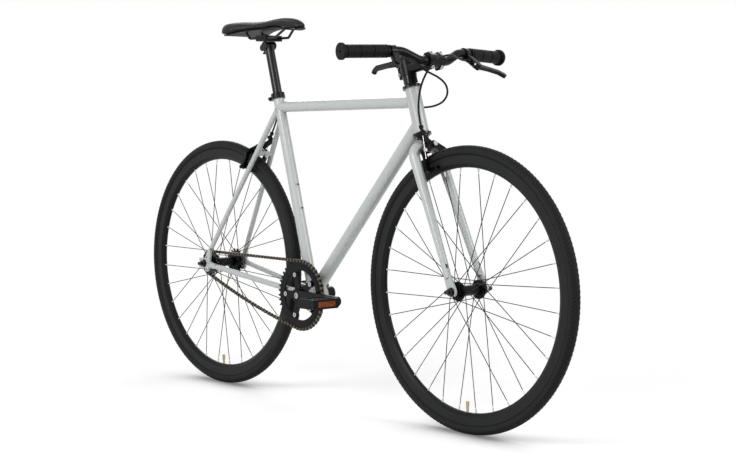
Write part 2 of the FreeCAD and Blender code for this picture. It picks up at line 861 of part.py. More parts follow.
def tyre(axle):
    """Round crown, drawn-in sidewalls and two beads inside the rim's flanges."""
    def at(side, radius):
        return axle + vec(0, side, radius)

    spread = tyre_half - bead_half
    fall = tyre_middle - tyre_foot
    bend = (spread ** 2 + fall ** 2) / (2 * spread)
    slant = math.asin(fall / bend) / 2
    belly_side = tyre_half - bend + bend * math.cos(slant)
    belly_radius = tyre_middle - bend * math.sin(slant)
    inside_half = tyre_half - tyre_wall
    lip = bead_half - tyre_wall
    bead_foot = bead_seat_radius + fit_gap
    outline = [
        at(bead_half, tyre_foot),
        (at(belly_side, belly_radius), at(tyre_half, tyre_middle)),
        (at(0, tyre_radius), at(-tyre_half, tyre_middle)),
        (at(-belly_side, belly_radius), at(-bead_half, tyre_foot)),
        at(-bead_half, bead_foot), at(-lip, bead_foot), at(-lip, tyre_foot + tyre_wall),
        at(-inside_half, tyre_middle),
        (at(0, tyre_radius - tread_thickness), at(inside_half, tyre_middle)),
        at(lip, tyre_foot + tyre_wall), at(lip, bead_foot), at(bead_half, bead_foot)]
    return revolved(ring_edges(outline), axle, across)


def inner_tube(axle):
    """Thin tube with its valve pointing from the floor side to the hub."""
    low = tyre_foot + tyre_wall
    high = tyre_radius - tread_thickness - fit_gap
    radius = (high - low) / 2
    middle = (high + low) / 2
    air = Part.makeTorus(middle, radius - inner_tube_wall, axle, across)
    skin = Part.makeTorus(middle, radius, axle, across)
    root = axle - vec(0, 0, middle - radius / 2)
    end = root + vec(0, 0, valve_length)
    stem = joined([rod(root - vec(0, 0, radius / 4), end, valve_radius),
                   rod(end - vec(0, 0, valve_cap_length), end, valve_cap_radius)])
    return joined([skin, stem]).cut(air)


def rim(axle, spoke_ends):
    """Deep hollow rim with its spoke, nipple and valve holes."""
    def at(side, radius):
        return axle + vec(0, side, radius)

    nose = rim_nose_width / 2
    track_foot = flange_top - brake_track
    lip = rim_half - rim_wall
    cavity_nose = nose - rim_wall * 3 / 4
    bed = bead_seat_radius - rim_bed_thickness
    nose_edge = rim_inner + rim_nose_rise
    outline = [
        at(rim_half, flange_top), at(rim_half, track_foot), at(nose, nose_edge),
        (at(0, rim_inner), at(-nose, nose_edge)),
        at(-rim_half, track_foot), at(-rim_half, flange_top), at(-lip, flange_top),
        at(-lip, bead_seat_radius), at(lip, bead_seat_radius), at(lip, flange_top)]
    floor = rim_inner + rim_nose_wall
    hollow = [at(lip, bed), at(lip, track_foot), at(cavity_nose, floor),
              at(-cavity_nose, floor), at(-lip, track_foot), at(-lip, bed)]
    body = revolved(ring_edges(outline), axle, across).cut(revolved(polygon(hollow), axle, across))
    holes = []
    for end, along in spoke_ends:
        holes.append(rod(end - along * nipple_length, end + along * (nipple_seat / 2),
                         nipple_radius + fit_gap))
        out = unit(end - axle)
        holes.append(rod(axle + out * (bed - overrun), axle + out * (bead_seat_radius + overrun),
                         nipple_access_radius))
    low = axle - vec(0, 0, flange_top)
    holes.append(rod(low, low + vec(0, 0, rim_depth + overrun), valve_radius + fit_gap))
    return body.cut(holes)


def spokes(axle, flange_radius, flange_spacing):
    """Crossed spokes with their nipples, where they end, and the holes they need in the flanges."""
    per_kind = spokes_per_wheel // 4
    step = 2 * math.pi / spokes_per_wheel
    swing = 4 * math.pi * crossings / spokes_per_wheel
    hole_radius = flange_radius - flange_rim
    solids = []
    ends = []
    holes = []
    for side in (1, -1):
        flange = at_side(axle, side * flange_spacing / 2)
        for leading in (1, -1):
            rim_angle = -math.pi / 2 + step / 2 + step * (side + 1) / 2 + step * (leading + 1)
            hub_angle = rim_angle - leading * swing
            hole = on_circle(flange, hole_radius, hub_angle)
            run_side = across * (side * leading)
            face = flange_thickness / 2
            head = hole - run_side * (face + fit_gap)
            corner = hole + run_side * (face + spoke_radius + spoke_stand)
            end = on_circle(axle, nipple_radius_out, rim_angle)
            along = unit(end - corner)
            shank = swept(bent_path([head, corner, end], [spoke_bend_radius]), spoke_radius)
            spoke = joined([
                Part.makeSolid(shank) if shank.ShapeType == "Shell" else shank,
                rod(head - run_side * spoke_head_length, head, spoke_head_radius),
                rod(end - along * nipple_length, end, nipple_radius),
                rod(end, end + along * nipple_head_length, nipple_head_radius)])
            hole_tool = rod(hole - run_side * (face + overrun), hole + run_side * (face + overrun),
                            spoke_radius + fit_gap)
            for number in range(per_kind):
                degrees = 360 * number / per_kind
                spin = FreeCAD.Rotation(across, -degrees)
                solids.append(turned(spoke, axle, across, -degrees))
                holes.append(turned(hole_tool, axle, across, -degrees))
                ends.append((axle + spin.multVec(end - axle), spin.multVec(along)))
    return solids, ends, holes


def hub(axle, width, flange_radius, flange_spacing, holes):
    """Hub shell with two pressed bearings."""
    end = width / 2 - hub_end_gap
    solids = [rod(at_side(axle, -end), at_side(axle, end), hub_barrel_radius)]
    tools = [rod(at_side(axle, -width), at_side(axle, width), hub_barrel_radius - hub_wall)]
    bearings = []
    for side in (1, -1):
        flange = side * (flange_spacing - flange_thickness) / 2
        solids.append(rod(at_side(axle, flange), at_side(axle, flange + side * flange_thickness),
                          flange_radius))
        solids.append(rod(at_side(axle, flange), at_side(axle, side * end), hub_end_radius))
        inner = at_side(axle, side * (end - bearing_width))
        outer = at_side(axle, side * end)
        tools.append(rod(inner, at_side(outer, side * overrun), bearing_radius))
        bearings.append(rod(inner, outer, bearing_radius - braze_gap).cut(
            rod(at_side(inner, -side * overrun), at_side(outer, side * overrun), cone_radius + running_gap)))
    return [joined(solids).cut(tools + holes)] + bearings


def axle_set(axle, width, seat_thickness):
    """Axle with its cones, and a washer and nut outside each frame or fork end."""
    nut_start = width / 2 + seat_thickness + washer_thickness
    end = nut_start + nut_height + axle_projection
    solids = [rod(at_side(axle, -end), at_side(axle, end), axle_radius)]
    fasteners = []
    for side in (1, -1):
        solids.append(rod(at_side(axle, side * width / 2), at_side(axle, side * (width / 2 - cone_length)),
                          cone_radius))
        bore = rod(at_side(axle, side * width / 2), at_side(axle, side * (end + overrun)),
                   axle_radius + fit_gap)
        washer_face = at_side(axle, side * (width / 2 + seat_thickness))
        nut_face = at_side(axle, side * nut_start)
        fasteners.append(rod(washer_face, nut_face, washer_radius).cut(bore))
        fasteners.append(hexagon(nut_face, across * side, vec(0, 0, 1), nut_across, nut_height).cut(bore))
    return [joined(solids)] + fasteners


def wheel(name, axle, width, flange_radius, flange_spacing):
    solids, ends, holes = spokes(axle, flange_radius, flange_spacing)
    save(name + "_tyre", tyre(axle))
    save(name + "_inner_tube", inner_tube(axle))
    save(name + "_rim", rim(axle, ends))
    save(name + "_spokes", *solids)
    return hub(axle, width, flange_radius, flange_spacing, holes)


save("front_hub", *wheel("front", front_axle, front_hub_width, front_flange_radius, front_flange_spacing))
rear_hub = wheel("rear", rear_axle, rear_hub_width, rear_flange_radius, rear_flange_spacing)
save("front_axle", *axle_set(front_axle, front_hub_width, fork_tip_thickness))
save("rear_axle", *axle_set(rear_axle, rear_hub_width, dropout_thickness))


def rear_sprockets(hub_solids):
    """Fixed cog with its lockring on the right, freewheel on the left."""
    seat = hub_end_radius + braze_gap
    bore = rod(at_side(rear_axle, -rear_hub_width), at_side(rear_axle, rear_hub_width), seat)
    right = at_side(rear_axle, -chain_line)
    boss_start = at_side(rear_axle, -(rear_flange_spacing + flange_thickness) / 2)
    cog_face = at_side(right, -cog_thickness / 2)
    cog = joined([sprocket(right, cog_teeth, cog_turn, cog_thickness, seat),
                  rod(boss_start, cog_face, cog_hub_radius).cut(bore)])
    lockring = rod(cog_face, at_side(cog_face, -lockring_thickness), lockring_radius).cut(bore)
    notch = rod(cog_face, at_side(cog_face, -2 * lockring_thickness), lockring_thickness / 2)
    notch.translate(vec(lockring_radius, 0, 0))
    lockring = lockring.cut([turned(notch, rear_axle, across, 120 * step) for step in range(3)])
    save("fixed_cog", cog, lockring)
    left = at_side(rear_axle, chain_line)
    half = across * (freewheel_body_length / 2)
    core = rod(left - half, left + half, freewheel_core_radius).cut(bore)
    ring_bore = freewheel_core_radius + running_gap
    ring = rod(left - half, left + half, freewheel_body_radius)
    ring = ring.cut(rod(left - half * 2, left + half * 2, ring_bore))
    save("freewheel", joined([sprocket(left, cog_teeth, 0, cog_thickness, ring_bore), ring]))
    save("rear_hub", *hub_solids, core)


def chainring():
    """Toothed ring with a raised inner band and five tabs for its bolts."""
    middle = at_side(bracket, -chain_line)
    outer_face = at_side(middle, -ring_thickness / 2)
    step_face = at_side(outer_face, -ring_step_thickness)
    window = rod(at_side(middle, ring_thickness), at_side(middle, -2 * ring_thickness), ring_window_radius)
    plate = sprocket(middle, ring_teeth, math.radians(crank_turn), ring_thickness, ring_window_radius)
    band = rod(outer_face, step_face, ring_step_radius).cut(window)
    pieces = [plate, band]
    holes = []
    bolts = []
    inner_face = at_side(middle, ring_thickness / 2)
    spider_face = at_side(outer_face, -spider_thickness)
    for number in range(5):
        angle = math.radians(crank_turn + 36 + 72 * number)
        root = on_circle(inner_face, ring_window_radius + ring_tab_radius / 2, angle)
        tab = on_circle(inner_face, bolt_circle_radius, angle)
        pieces.append(strap(tab, root, ring_tab_radius, ring_tab_radius, across * -ring_thickness))
        centre = on_circle(bracket, bolt_circle_radius, angle)
        holes.append(rod(at_side(centre, 0), at_side(centre, -2 * chain_line), ring_bolt_radius + fit_gap))
        head_start = on_circle(spider_face, bolt_circle_radius, angle)
        nut_start = on_circle(inner_face, bolt_circle_radius, angle)
        socket = at_side(head_start, -ring_bolt_head)
        bolt = joined([rod(nut_start, head_start, ring_bolt_radius),
                       rod(head_start, socket, ring_bolt_head_radius),
                       rod(nut_start, at_side(nut_start, ring_bolt_head), ring_bolt_head_radius)])
        bolts.append(bolt.cut(hexagon(socket, across, vec(0, 0, 1), ring_bolt_radius, ring_nut_length)))
    save("chainring", joined(pieces).cut(holes))
    return bolts, holes


def crank_arm(holes):
    """Right crank with its spider; the left one is the same arm without it."""
    inner = shell_width / 2 + cup_flange_thickness + crank_boss_gap
    outer = inner + crank_boss_length
    start = at_side(bracket, -inner)
    end = at_side(bracket, -outer)
    arm_root = inner + crank_arm_offset
    arm_tip = arm_root + crank_splay
    sections = []
    for distance, near, width in ((0, arm_root, crank_root_width), (crank_length, arm_tip, crank_tip_width)):
        corners = [bracket + vec(distance, -near - thick, up)
                   for thick, up in ((0, -width / 2), (0, width / 2),
                                     (crank_thickness, width / 2), (crank_thickness, -width / 2))]
        sections.append(Part.Wire(polygon(corners)))
    arm = Part.makeLoft(sections, True, True)
    long_edges = [edge for edge in arm.Edges if abs(edge.tangentAt(edge.FirstParameter).x) > math.cos(1)]
    arm = arm.makeFillet(crank_edge, long_edges)
    eye = bracket + vec(crank_length, -arm_tip, 0)
    eye_end = at_side(eye, -crank_thickness)
    square = (spindle_square + 2 * braze_gap)
    spindle_end = at_side(bracket, -spindle_length / 2)
    recess = rod(at_side(spindle_end, -fit_gap), at_side(end, -overrun), crank_bolt_head_radius + fit_gap)
    socket = block(at_side(bracket, -(inner + spindle_length / 2) / 2 + fit_gap / 2),
                   square, spindle_length / 2 - inner + 2 * fit_gap + overrun, square)
    socket = socket.cut(rod(start, at_side(start, spindle_length), spindle_length))
    tools = [socket, recess,
             rod(bracket, at_side(bracket, -2 * chain_line), crank_bolt_radius + fit_gap),
             rod(at_side(eye, overrun), at_side(eye_end, -overrun), pedal_spindle_radius + braze_gap)]
    plain = joined([arm, rod(start, end, crank_boss_radius), rod(eye, eye_end, crank_tip_width / 2)])
    spider = [plain]
    spider_face = at_side(bracket, -chain_line - ring_thickness / 2)
    for number in range(5):
        angle = math.radians(36 + 72 * number)
        tip = on_circle(spider_face, bolt_circle_radius, angle)
        spider.append(strap(spider_face, tip, spider_root_width / 2, spider_tip_width / 2,
                            across * -spider_thickness))
    right = turned(joined(spider).cut(tools), bracket, across, -crank_turn).cut(holes)
    left = turned(plain.cut(tools), bracket, across, 180 - crank_turn)
    return right, mirrored(left), eye, eye_end


def crankset():
    """Chainring, cranks, pedal spindles, bottom bracket spindle and their bolts."""
    ring_bolts, holes = chainring()
    right, left, eye, eye_end = crank_arm(holes)
    spindle_tip = at_side(eye_end, -(pedal_stub + pedal_length - pedal_end_thickness))
    pedal_spindle = rod(eye, spindle_tip, pedal_spindle_radius)
    right_spindle = turned(pedal_spindle, bracket, across, -crank_turn)
    left_spindle = mirrored(turned(pedal_spindle, bracket, across, 180 - crank_turn))
    save("right_crank", right, right_spindle)
    save("left_crank", left, left_spindle)
    half = spindle_length / 2
    middle = half - spindle_square_length
    shaft = [rod(at_side(bracket, -middle), at_side(bracket, middle), spindle_radius),
             block(bracket, spindle_square, spindle_length, spindle_square)]
    holes = []
    bolts = []
    for side in (1, -1):
        tip = at_side(bracket, side * half)
        root = at_side(tip, -side * spindle_square_length)
        holes.append(rod(root, at_side(tip, side * overrun), crank_bolt_radius + fit_gap))
        seat = at_side(tip, side * fit_gap)
        head = at_side(seat, side * crank_bolt_head)
        bolt = joined([rod(root, seat, crank_bolt_radius), rod(seat, head, crank_bolt_head_radius)])
        bolts.append(bolt.cut(hexagon(head, across * -side, vec(0, 0, 1), 2 * crank_bolt_radius,
                                      crank_bolt_head / 2)))
    save("bottom_bracket_spindle", joined(shaft).cut(holes))
    save("crankset_bolts", *ring_bolts, *bolts)
    swing = FreeCAD.Rotation(across, -crank_turn)
    return bracket + swing.multVec(at_side(eye_end, -pedal_stub) - bracket)


def bottom_bracket_cups():
    solids = []
    bore = rod(at_side(bracket, -shell_width), at_side(bracket, shell_width), spindle_radius + running_gap)
    for side in (1, -1):
        face = at_side(bracket, side * shell_width / 2)
        flange = rod(face, at_side(face, side * cup_flange_thickness), cup_flange_radius)
        sleeve = rod(at_side(face, -side * cup_length), face, shell_radius - shell_wall - braze_gap)
        solids.append(joined([flange, sleeve]).cut(bore))
    save("bottom_bracket_cups", *solids)


def pedals(start):
    """Platform pedals with two end plates, a barrel, notched rails and reflectors."""
    end = at_side(start, -pedal_length)
    round_end = pedal_height / 2
    reach = vec(pedal_width / 2 - round_end, 0, 0)
    plate = across * -pedal_end_thickness
    far_plate = at_side(end, pedal_end_thickness)
    rail_middle = (start + end) * (1 / 2)
    pieces = [strap(start - reach, start + reach, round_end, round_end, plate),
              strap(far_plate - reach, far_plate + reach, round_end, round_end, plate),
              rod(start, end, pedal_barrel_radius)]
    tools = []
    reflectors = []
    for side in (1, -1):
        face = side * pedal_width / 2
        rail = rail_middle + vec(face - side * pedal_rail / 2, 0, 0)
        pieces.append(block(rail, pedal_rail, pedal_length - pedal_end_thickness, pedal_height))
        pocket = rail_middle + vec(face - side * reflector_thickness / 2, 0, 0)
        tools.append(block(pocket, reflector_thickness, reflector_length + 2 * fit_gap,
                           reflector_height + 2 * fit_gap))
        reflectors.append(block(pocket + vec(side * fit_gap, 0, 0), reflector_thickness - fit_gap,
                                reflector_length, reflector_height))
    notches = int((pedal_length - 2 * pedal_end_thickness) / pedal_tooth_pitch)
    for number in range(notches):
        along = (number - (notches - 1) / 2) * pedal_tooth_pitch
        for side in (1, -1):
            notch = rail_middle + vec(0, along, side * pedal_height / 2)
            tools.append(block(notch, 2 * pedal_width, pedal_tooth, 2 * pedal_tooth))
    tip = at_side(end, pedal_end_thickness - running_gap)
    tools.append(rod(at_side(start, overrun), tip, pedal_spindle_radius + running_gap))
    body = joined(pieces).cut(tools)

    def left_side(shape):
        moved = mirrored(shape)
        moved.translate(vec(2 * (bracket.x - start.x), 0, 2 * (bracket.z - start.z)))
        return moved

    save("right_pedal", body)
    save("left_pedal", left_side(body))
    save("right_pedal_reflectors", *reflectors)
    save("left_pedal_reflectors", *[left_side(piece) for piece in reflectors])


def seat_collar():
    """Clamp round the seat tube's top, with ears and a bolt behind."""
    foot = vec(0, 0, -collar_height + collar_lip)
    top = vec(0, 0, collar_lip)
    seat = seat_tube_radius + fit_gap
    ring = rod(foot, top, collar_radius)
    ears = block(vec(-collar_radius - collar_ear_length / 2 + collar_lip, 0, foot.z / 2),
                 collar_ear_length, 2 * collar_ear_width + collar_slit, collar_ear_height)
    bolt_at = vec(-collar_radius - collar_ear_length / 2 + collar_lip, 0, foot.z / 2)
    half = collar_ear_width + collar_slit / 2
    lip_bore = rod(vec(0, 0, 0), top * 2, post_radius + running_gap)
    tools = [rod(foot * 2, vec(0, 0, 0), seat), lip_bore,
             block(vec(-collar_radius, 0, 0), 2 * collar_radius, collar_slit, 4 * collar_height),
             rod(at_side(bolt_at, -2 * half), at_side(bolt_at, 2 * half), collar_bolt_radius + fit_gap)]
    collar = joined([ring, ears]).cut(tools)
    head = at_side(bolt_at, -half)
    bolt = joined([rod(head, at_side(bolt_at, half), collar_bolt_radius),
                   rod(at_side(head, -collar_bolt_head), head, collar_bolt_head_radius)])
    solids = [placed(piece, seat_top, seat_back * -1, across, seat_up) for piece in (collar, bolt)]
    save("seat_collar", *solids)


rear_sprockets(rear_hub)
pedal_start = crankset()
bottom_bracket_cups()
pedals(pedal_start)
seat_collar()


# Heights on the steering axis, above the front axle's foot
crown_height = fork_length
head_foot = crown_height + lower_stack
head_head = head_foot + head_tube_length
cover_foot = head_head + upper_stack - upper_cover
spacer_foot = head_head + upper_stack
stem_foot = spacer_foot + spacers * spacer_height
stem_middle = stem_foot + stem_clamp_height / 2
stem_head = stem_foot + stem_clamp_height
steerer_head = stem_head - steerer_top_gap
steerer_tail_end = crown_height - steerer_tail
brake_height = brake_bridge_height


def height(value):
    return vec(0, 0, value)


def on_fork(shape):
    """Move a piece from the steering axes to its place."""
    return placed(shape, steer_foot, steer_fore, across, steer_up)


def headset():
    """Cups with their bearings in the frame, and the turning cover, spacers, cap and bolt above."""
    skirt = head_tube_radius - head_tube_wall - braze_gap
    bore = rod(height(0), height(2 * stem_head), steerer_radius + 2 * running_gap)
    lower_foot = crown_height + crown_race_height + running_gap
    solids = []
    for face, outer, inward in ((head_foot, lower_foot, 1), (head_head, cover_foot - running_gap, -1)):
        cup = joined([rod(height(face), height(outer), cup_radius),
                      rod(height(face), height(face + inward * cup_skirt), skirt)])
        seat = outer + inward * headset_bearing_width
        pocket = rod(height(outer), height(seat), headset_bearing_radius)
        ring = rod(height(outer), height(seat), headset_bearing_radius - braze_gap)
        solids.append(cup.cut([bore, pocket]))
        solids.append(ring.cut(rod(height(0), height(2 * stem_head), steerer_radius + running_gap)))
    save("headset_cups", *[on_fork(solid) for solid in solids])
    clear = rod(height(0), height(2 * stem_head), steerer_radius + fit_gap)
    stack = [cone(height(cover_foot), height(spacer_foot), cup_radius, spacer_radius).cut(clear)]
    for number in range(spacers):
        foot = spacer_foot + number * spacer_height
        stack.append(rod(height(foot), height(foot + spacer_height), spacer_radius).cut(clear))
    cap_top = stem_head + top_cap_height
    bolt_hole = rod(height(0), height(2 * cap_top), top_cap_bolt_radius + fit_gap)
    stack.append(rod(height(stem_head), height(cap_top), spacer_radius).cut(bolt_hole))
    nut_top = steerer_head - star_nut_depth
    nut_foot = nut_top - star_nut_thickness
    nut = rod(height(nut_foot), height(nut_top), steerer_radius - steerer_wall - braze_gap)
    stack.append(nut.cut(bolt_hole))
    bolt_top = cap_top + top_cap_height / 2
    bolt = joined([rod(height(nut_foot), height(bolt_top), top_cap_bolt_radius),
                   rod(height(cap_top), height(bolt_top), 2 * top_cap_bolt_radius)])
    socket_foot = height(cap_top + top_cap_height / 4)
    stack.append(bolt.cut(hexagon(socket_foot, vec(0, 0, 1), vec(1, 0, 0), top_cap_bolt_radius,
                                  top_cap_height)))
    save("headset_spacers", *[on_fork(solid) for solid in stack])


def fork():
    """Steerer with its crown race, and two straight tapered blades bent into the crown."""
    steerer = joined([rod(height(steerer_tail_end), height(steerer_head), steerer_radius),
                      rod(height(crown_height), height(crown_height + crown_race_height),
                           crown_race_radius)])
    bolt_reach = vec(2 * steerer_radius, 0, 0)
    tools = [rod(height(0), height(2 * stem_head), steerer_radius - steerer_wall),
             rod(height(brake_height) - bolt_reach, height(brake_height) + bolt_reach,
                 brake_bolt_radius + fit_gap)]
    save("fork_steerer", on_fork(steerer.cut(tools)))
    slope = math.radians(crown_slope)
    start = height(crown_height - crown_depth)
    corner = start + vec(0, blade_spread, -blade_spread * math.tan(slope))
    tip_middle = front_hub_width / 2 + fork_tip_thickness / 2
    tip = vec(fork_rake, tip_middle, 0)
    leg = unit(corner - tip)
    foot = tip + leg * fork_tip_length
    half_turn = unit(corner - start).getAngle(leg * -1) / 2
    knee = corner - leg * (crown_bend_radius * math.tan(half_turn))
    path = Part.Wire(bent_path([start, corner, foot], [crown_bend_radius]).Edges[:2])
    outside = joined([swept(path, blade_top_radius), cone(knee, foot, blade_top_radius, blade_tip_radius)])
    inside = [swept(path, blade_top_radius - blade_wall),
              cone(knee, foot, blade_top_radius - blade_wall, blade_tip_radius - blade_wall)]
    blade = outside.cut(inside).cut(rod(height(0), height(stem_head), steerer_radius + braze_gap))
    inner_face = vec(fork_rake, front_hub_width / 2, 0)
    up = unit(vec(leg.x, 0, leg.z))
    tang = inner_face + up * (fork_tip_length + 2 * blade_tip_radius)
    plate = strap(inner_face, tang, fork_tip_radius, blade_tip_radius, across * fork_tip_thickness)
    gap_face = inner_face - across * braze_gap
    slot = strap(gap_face, tang - across * braze_gap, 2 * blade_tip_radius, 2 * blade_tip_radius,
                 across * (fork_tip_thickness + 2 * braze_gap))
    slot_half = axle_radius + fit_gap
    below = inner_face - across * overrun
    plate = plate.cut(strap(below, below - height(2 * fork_tip_radius), slot_half, slot_half,
                            across * (fork_tip_thickness + 2 * overrun)))
    solids = [blade.cut(slot), plate]
    save("fork_blades", *[on_fork(piece) for piece in solids + [mirrored(solid) for solid in solids]])


headset()
fork()


# Handlebar points
neck_angle = math.radians(stem_drop_angle)
neck = steer_fore * math.cos(neck_angle) - steer_up * math.sin(neck_angle)
neck_up = steer_fore * math.sin(neck_angle) + steer_up * math.cos(neck_angle)
stem_root = steer_foot + steer_up * stem_middle
bar_middle = stem_root + neck * stem_length
bar_low = bar_middle + vec(0, bar_low_half, 0)
bar_high = bar_low + vec(-bar_rise_back, bar_rise_run, bar_rise)
bar_end = bar_high + vec(-bar_grip_back, bar_grip_run, -bar_grip_fall)
bar_outward = unit(bar_end - bar_high)


def other_side(point):
    return vec(point.x, -point.y, point.z)


def stem():
    """Stem clamped on the steerer, with a separate faceplate and its bolts."""
    clamp_outer = bar_clamp_radius + bar_clamp_wall
    ear = stem_bolt_head_radius + fit_gap
    ear_out = bar_clamp_radius + stem_bolt_radius + ear / 2
    depth = vec(clamp_outer, 0, 0)
    half_width = bar_clamp_width / 2
    clamp = [rod(vec(0, -half_width, 0), vec(0, half_width, 0), clamp_outer)]
    bolts = []
    bolt_holes = []
    for side in (1, -1):
        row = vec(-clamp_outer / 2, side * stem_bolt_pitch / 2, 0)
        clamp.append(strap(row - height(ear_out), row + height(ear_out), ear, ear, depth))
        for up in (1, -1):
            face = row + depth + height(up * ear_out)
            tip = face - depth
            head = face + vec(stem_bolt_head, 0, 0)
            bolt = joined([rod(tip, head, stem_bolt_radius), rod(face, head, stem_bolt_head_radius)])
            bolts.append(bolt.cut(hexagon(head, vec(-1, 0, 0), vec(0, 0, 1), stem_bolt_head_radius,
                                          stem_bolt_head / 2)))
            bolt_holes.append(rod(tip - vec(overrun, 0, 0), head, stem_bolt_radius + fit_gap))
            bolt_holes.append(rod(face, face + depth, stem_bolt_head_radius + fit_gap))
    bore = rod(vec(0, -bar_clamp_width, 0), vec(0, bar_clamp_width, 0), bar_clamp_radius + fit_gap)
    clamp = joined(clamp).cut([bore] + bolt_holes)
    big = 4 * clamp_outer
    front = block(vec(big / 2 + faceplate_gap / 2, 0, 0), big, big, big)
    back = block(vec(-big / 2 - faceplate_gap / 2, 0, 0), big, big, big)

    def at_bar(shape):
        return placed(shape, bar_middle, neck, across, neck_up)

    faceplate = clamp.common(front)
    save("stem_faceplate", at_bar(faceplate))
    cylinder = on_fork(rod(height(stem_foot), height(stem_head), stem_clamp_radius))
    boss = block(vec(-stem_clamp_radius - pinch_boss_depth / 4, 0, stem_middle),
                 pinch_boss_depth, pinch_boss_width + pinch_slit, stem_clamp_height)
    slit = block(vec(-stem_clamp_radius - pinch_boss_depth / 4, 0, stem_middle),
                 2 * stem_clamp_radius, pinch_slit, 2 * stem_clamp_height)
    half_boss = (pinch_boss_width + pinch_slit) / 2
    pinch_holes = []
    pinch_bolts = []
    for share in (pinch_bolt_places_share, -pinch_bolt_places_share):
        place = vec(-stem_clamp_radius - pinch_boss_depth / 4, 0, stem_middle + share * stem_clamp_height)
        end = at_side(place, half_boss)
        face = at_side(place, -half_boss)
        head = at_side(face, -stem_bolt_head)
        bolt = joined([rod(end, head, stem_bolt_radius), rod(face, head, stem_bolt_head_radius)])
        bolt = bolt.cut(hexagon(head, across, vec(0, 0, 1), stem_bolt_head_radius, stem_bolt_head / 2))
        pinch_bolts.append(on_fork(bolt))
        pinch_holes.append(on_fork(rod(at_side(end, overrun), at_side(face, -overrun),
                                       stem_bolt_radius + fit_gap)))
    save("stem_bolts", *[at_bar(bolt) for bolt in bolts], *pinch_bolts)
    neck_solid = rod(stem_root, bar_middle - neck * (bar_clamp_radius + fit_gap), stem_neck_radius)
    hollow = rod(stem_root, bar_middle, stem_neck_radius - stem_neck_wall)
    body = joined([cylinder, neck_solid, on_fork(boss), at_bar(clamp.common(back))])
    steerer_bore = on_fork(rod(height(0), height(2 * stem_head), steerer_radius + fit_gap))
    save("stem", body.cut([steerer_bore, on_fork(slit), at_bar(bore), hollow] + pinch_holes))


def handlebar():
    """Riser bar with a thicker middle, and the two grips."""
    right = [other_side(point) for point in (bar_end, bar_high, bar_low)]
    path = bent_path(right + [bar_low, bar_high, bar_end], [bar_bend_radius] * 4)
    bulge = vec(0, bar_bulge, 0)
    core_radius = bar_radius - bar_wall / 2
    run_out = vec(0, bar_clamp_radius - core_radius, 0)
    pieces = [swept(path, bar_radius), rod(bar_middle - bulge, bar_middle + bulge, bar_clamp_radius)]
    for side in (1, -1):
        pieces.append(cone(bar_middle + bulge * side, bar_middle + (bulge + run_out * 4) * side,
                           bar_clamp_radius, core_radius))
    save("handlebar", joined(pieces).cut(swept(path, bar_radius - bar_wall)))
    outer = bar_end + bar_outward * grip_end_thickness
    inner = outer - bar_outward * grip_length
    grip = joined([rod(inner, outer, grip_radius),
                   rod(outer - bar_outward * grip_flange_thickness, outer, grip_flange_radius)])
    tools = [rod(inner - bar_outward * overrun, bar_end + bar_outward * fit_gap, bar_radius + fit_gap),
             rod(bar_high, outer + bar_outward * overrun, grip_end_hole_radius)]
    plain = grip_length - grip_flange_thickness
    for number in range(grip_bands + 1):
        place = inner + bar_outward * (grip_band_gap + (plain - 3 * grip_band_gap) * number / grip_bands)
        end = place + bar_outward * grip_band_gap
        groove = rod(place, end, 2 * grip_radius).cut(rod(inner, outer, grip_radius - grip_band_groove))
        tools.append(groove)
    grip = grip.cut(tools)
    save("grips", grip, mirrored(grip))
    return inner


stem()
grip_inner = handlebar()


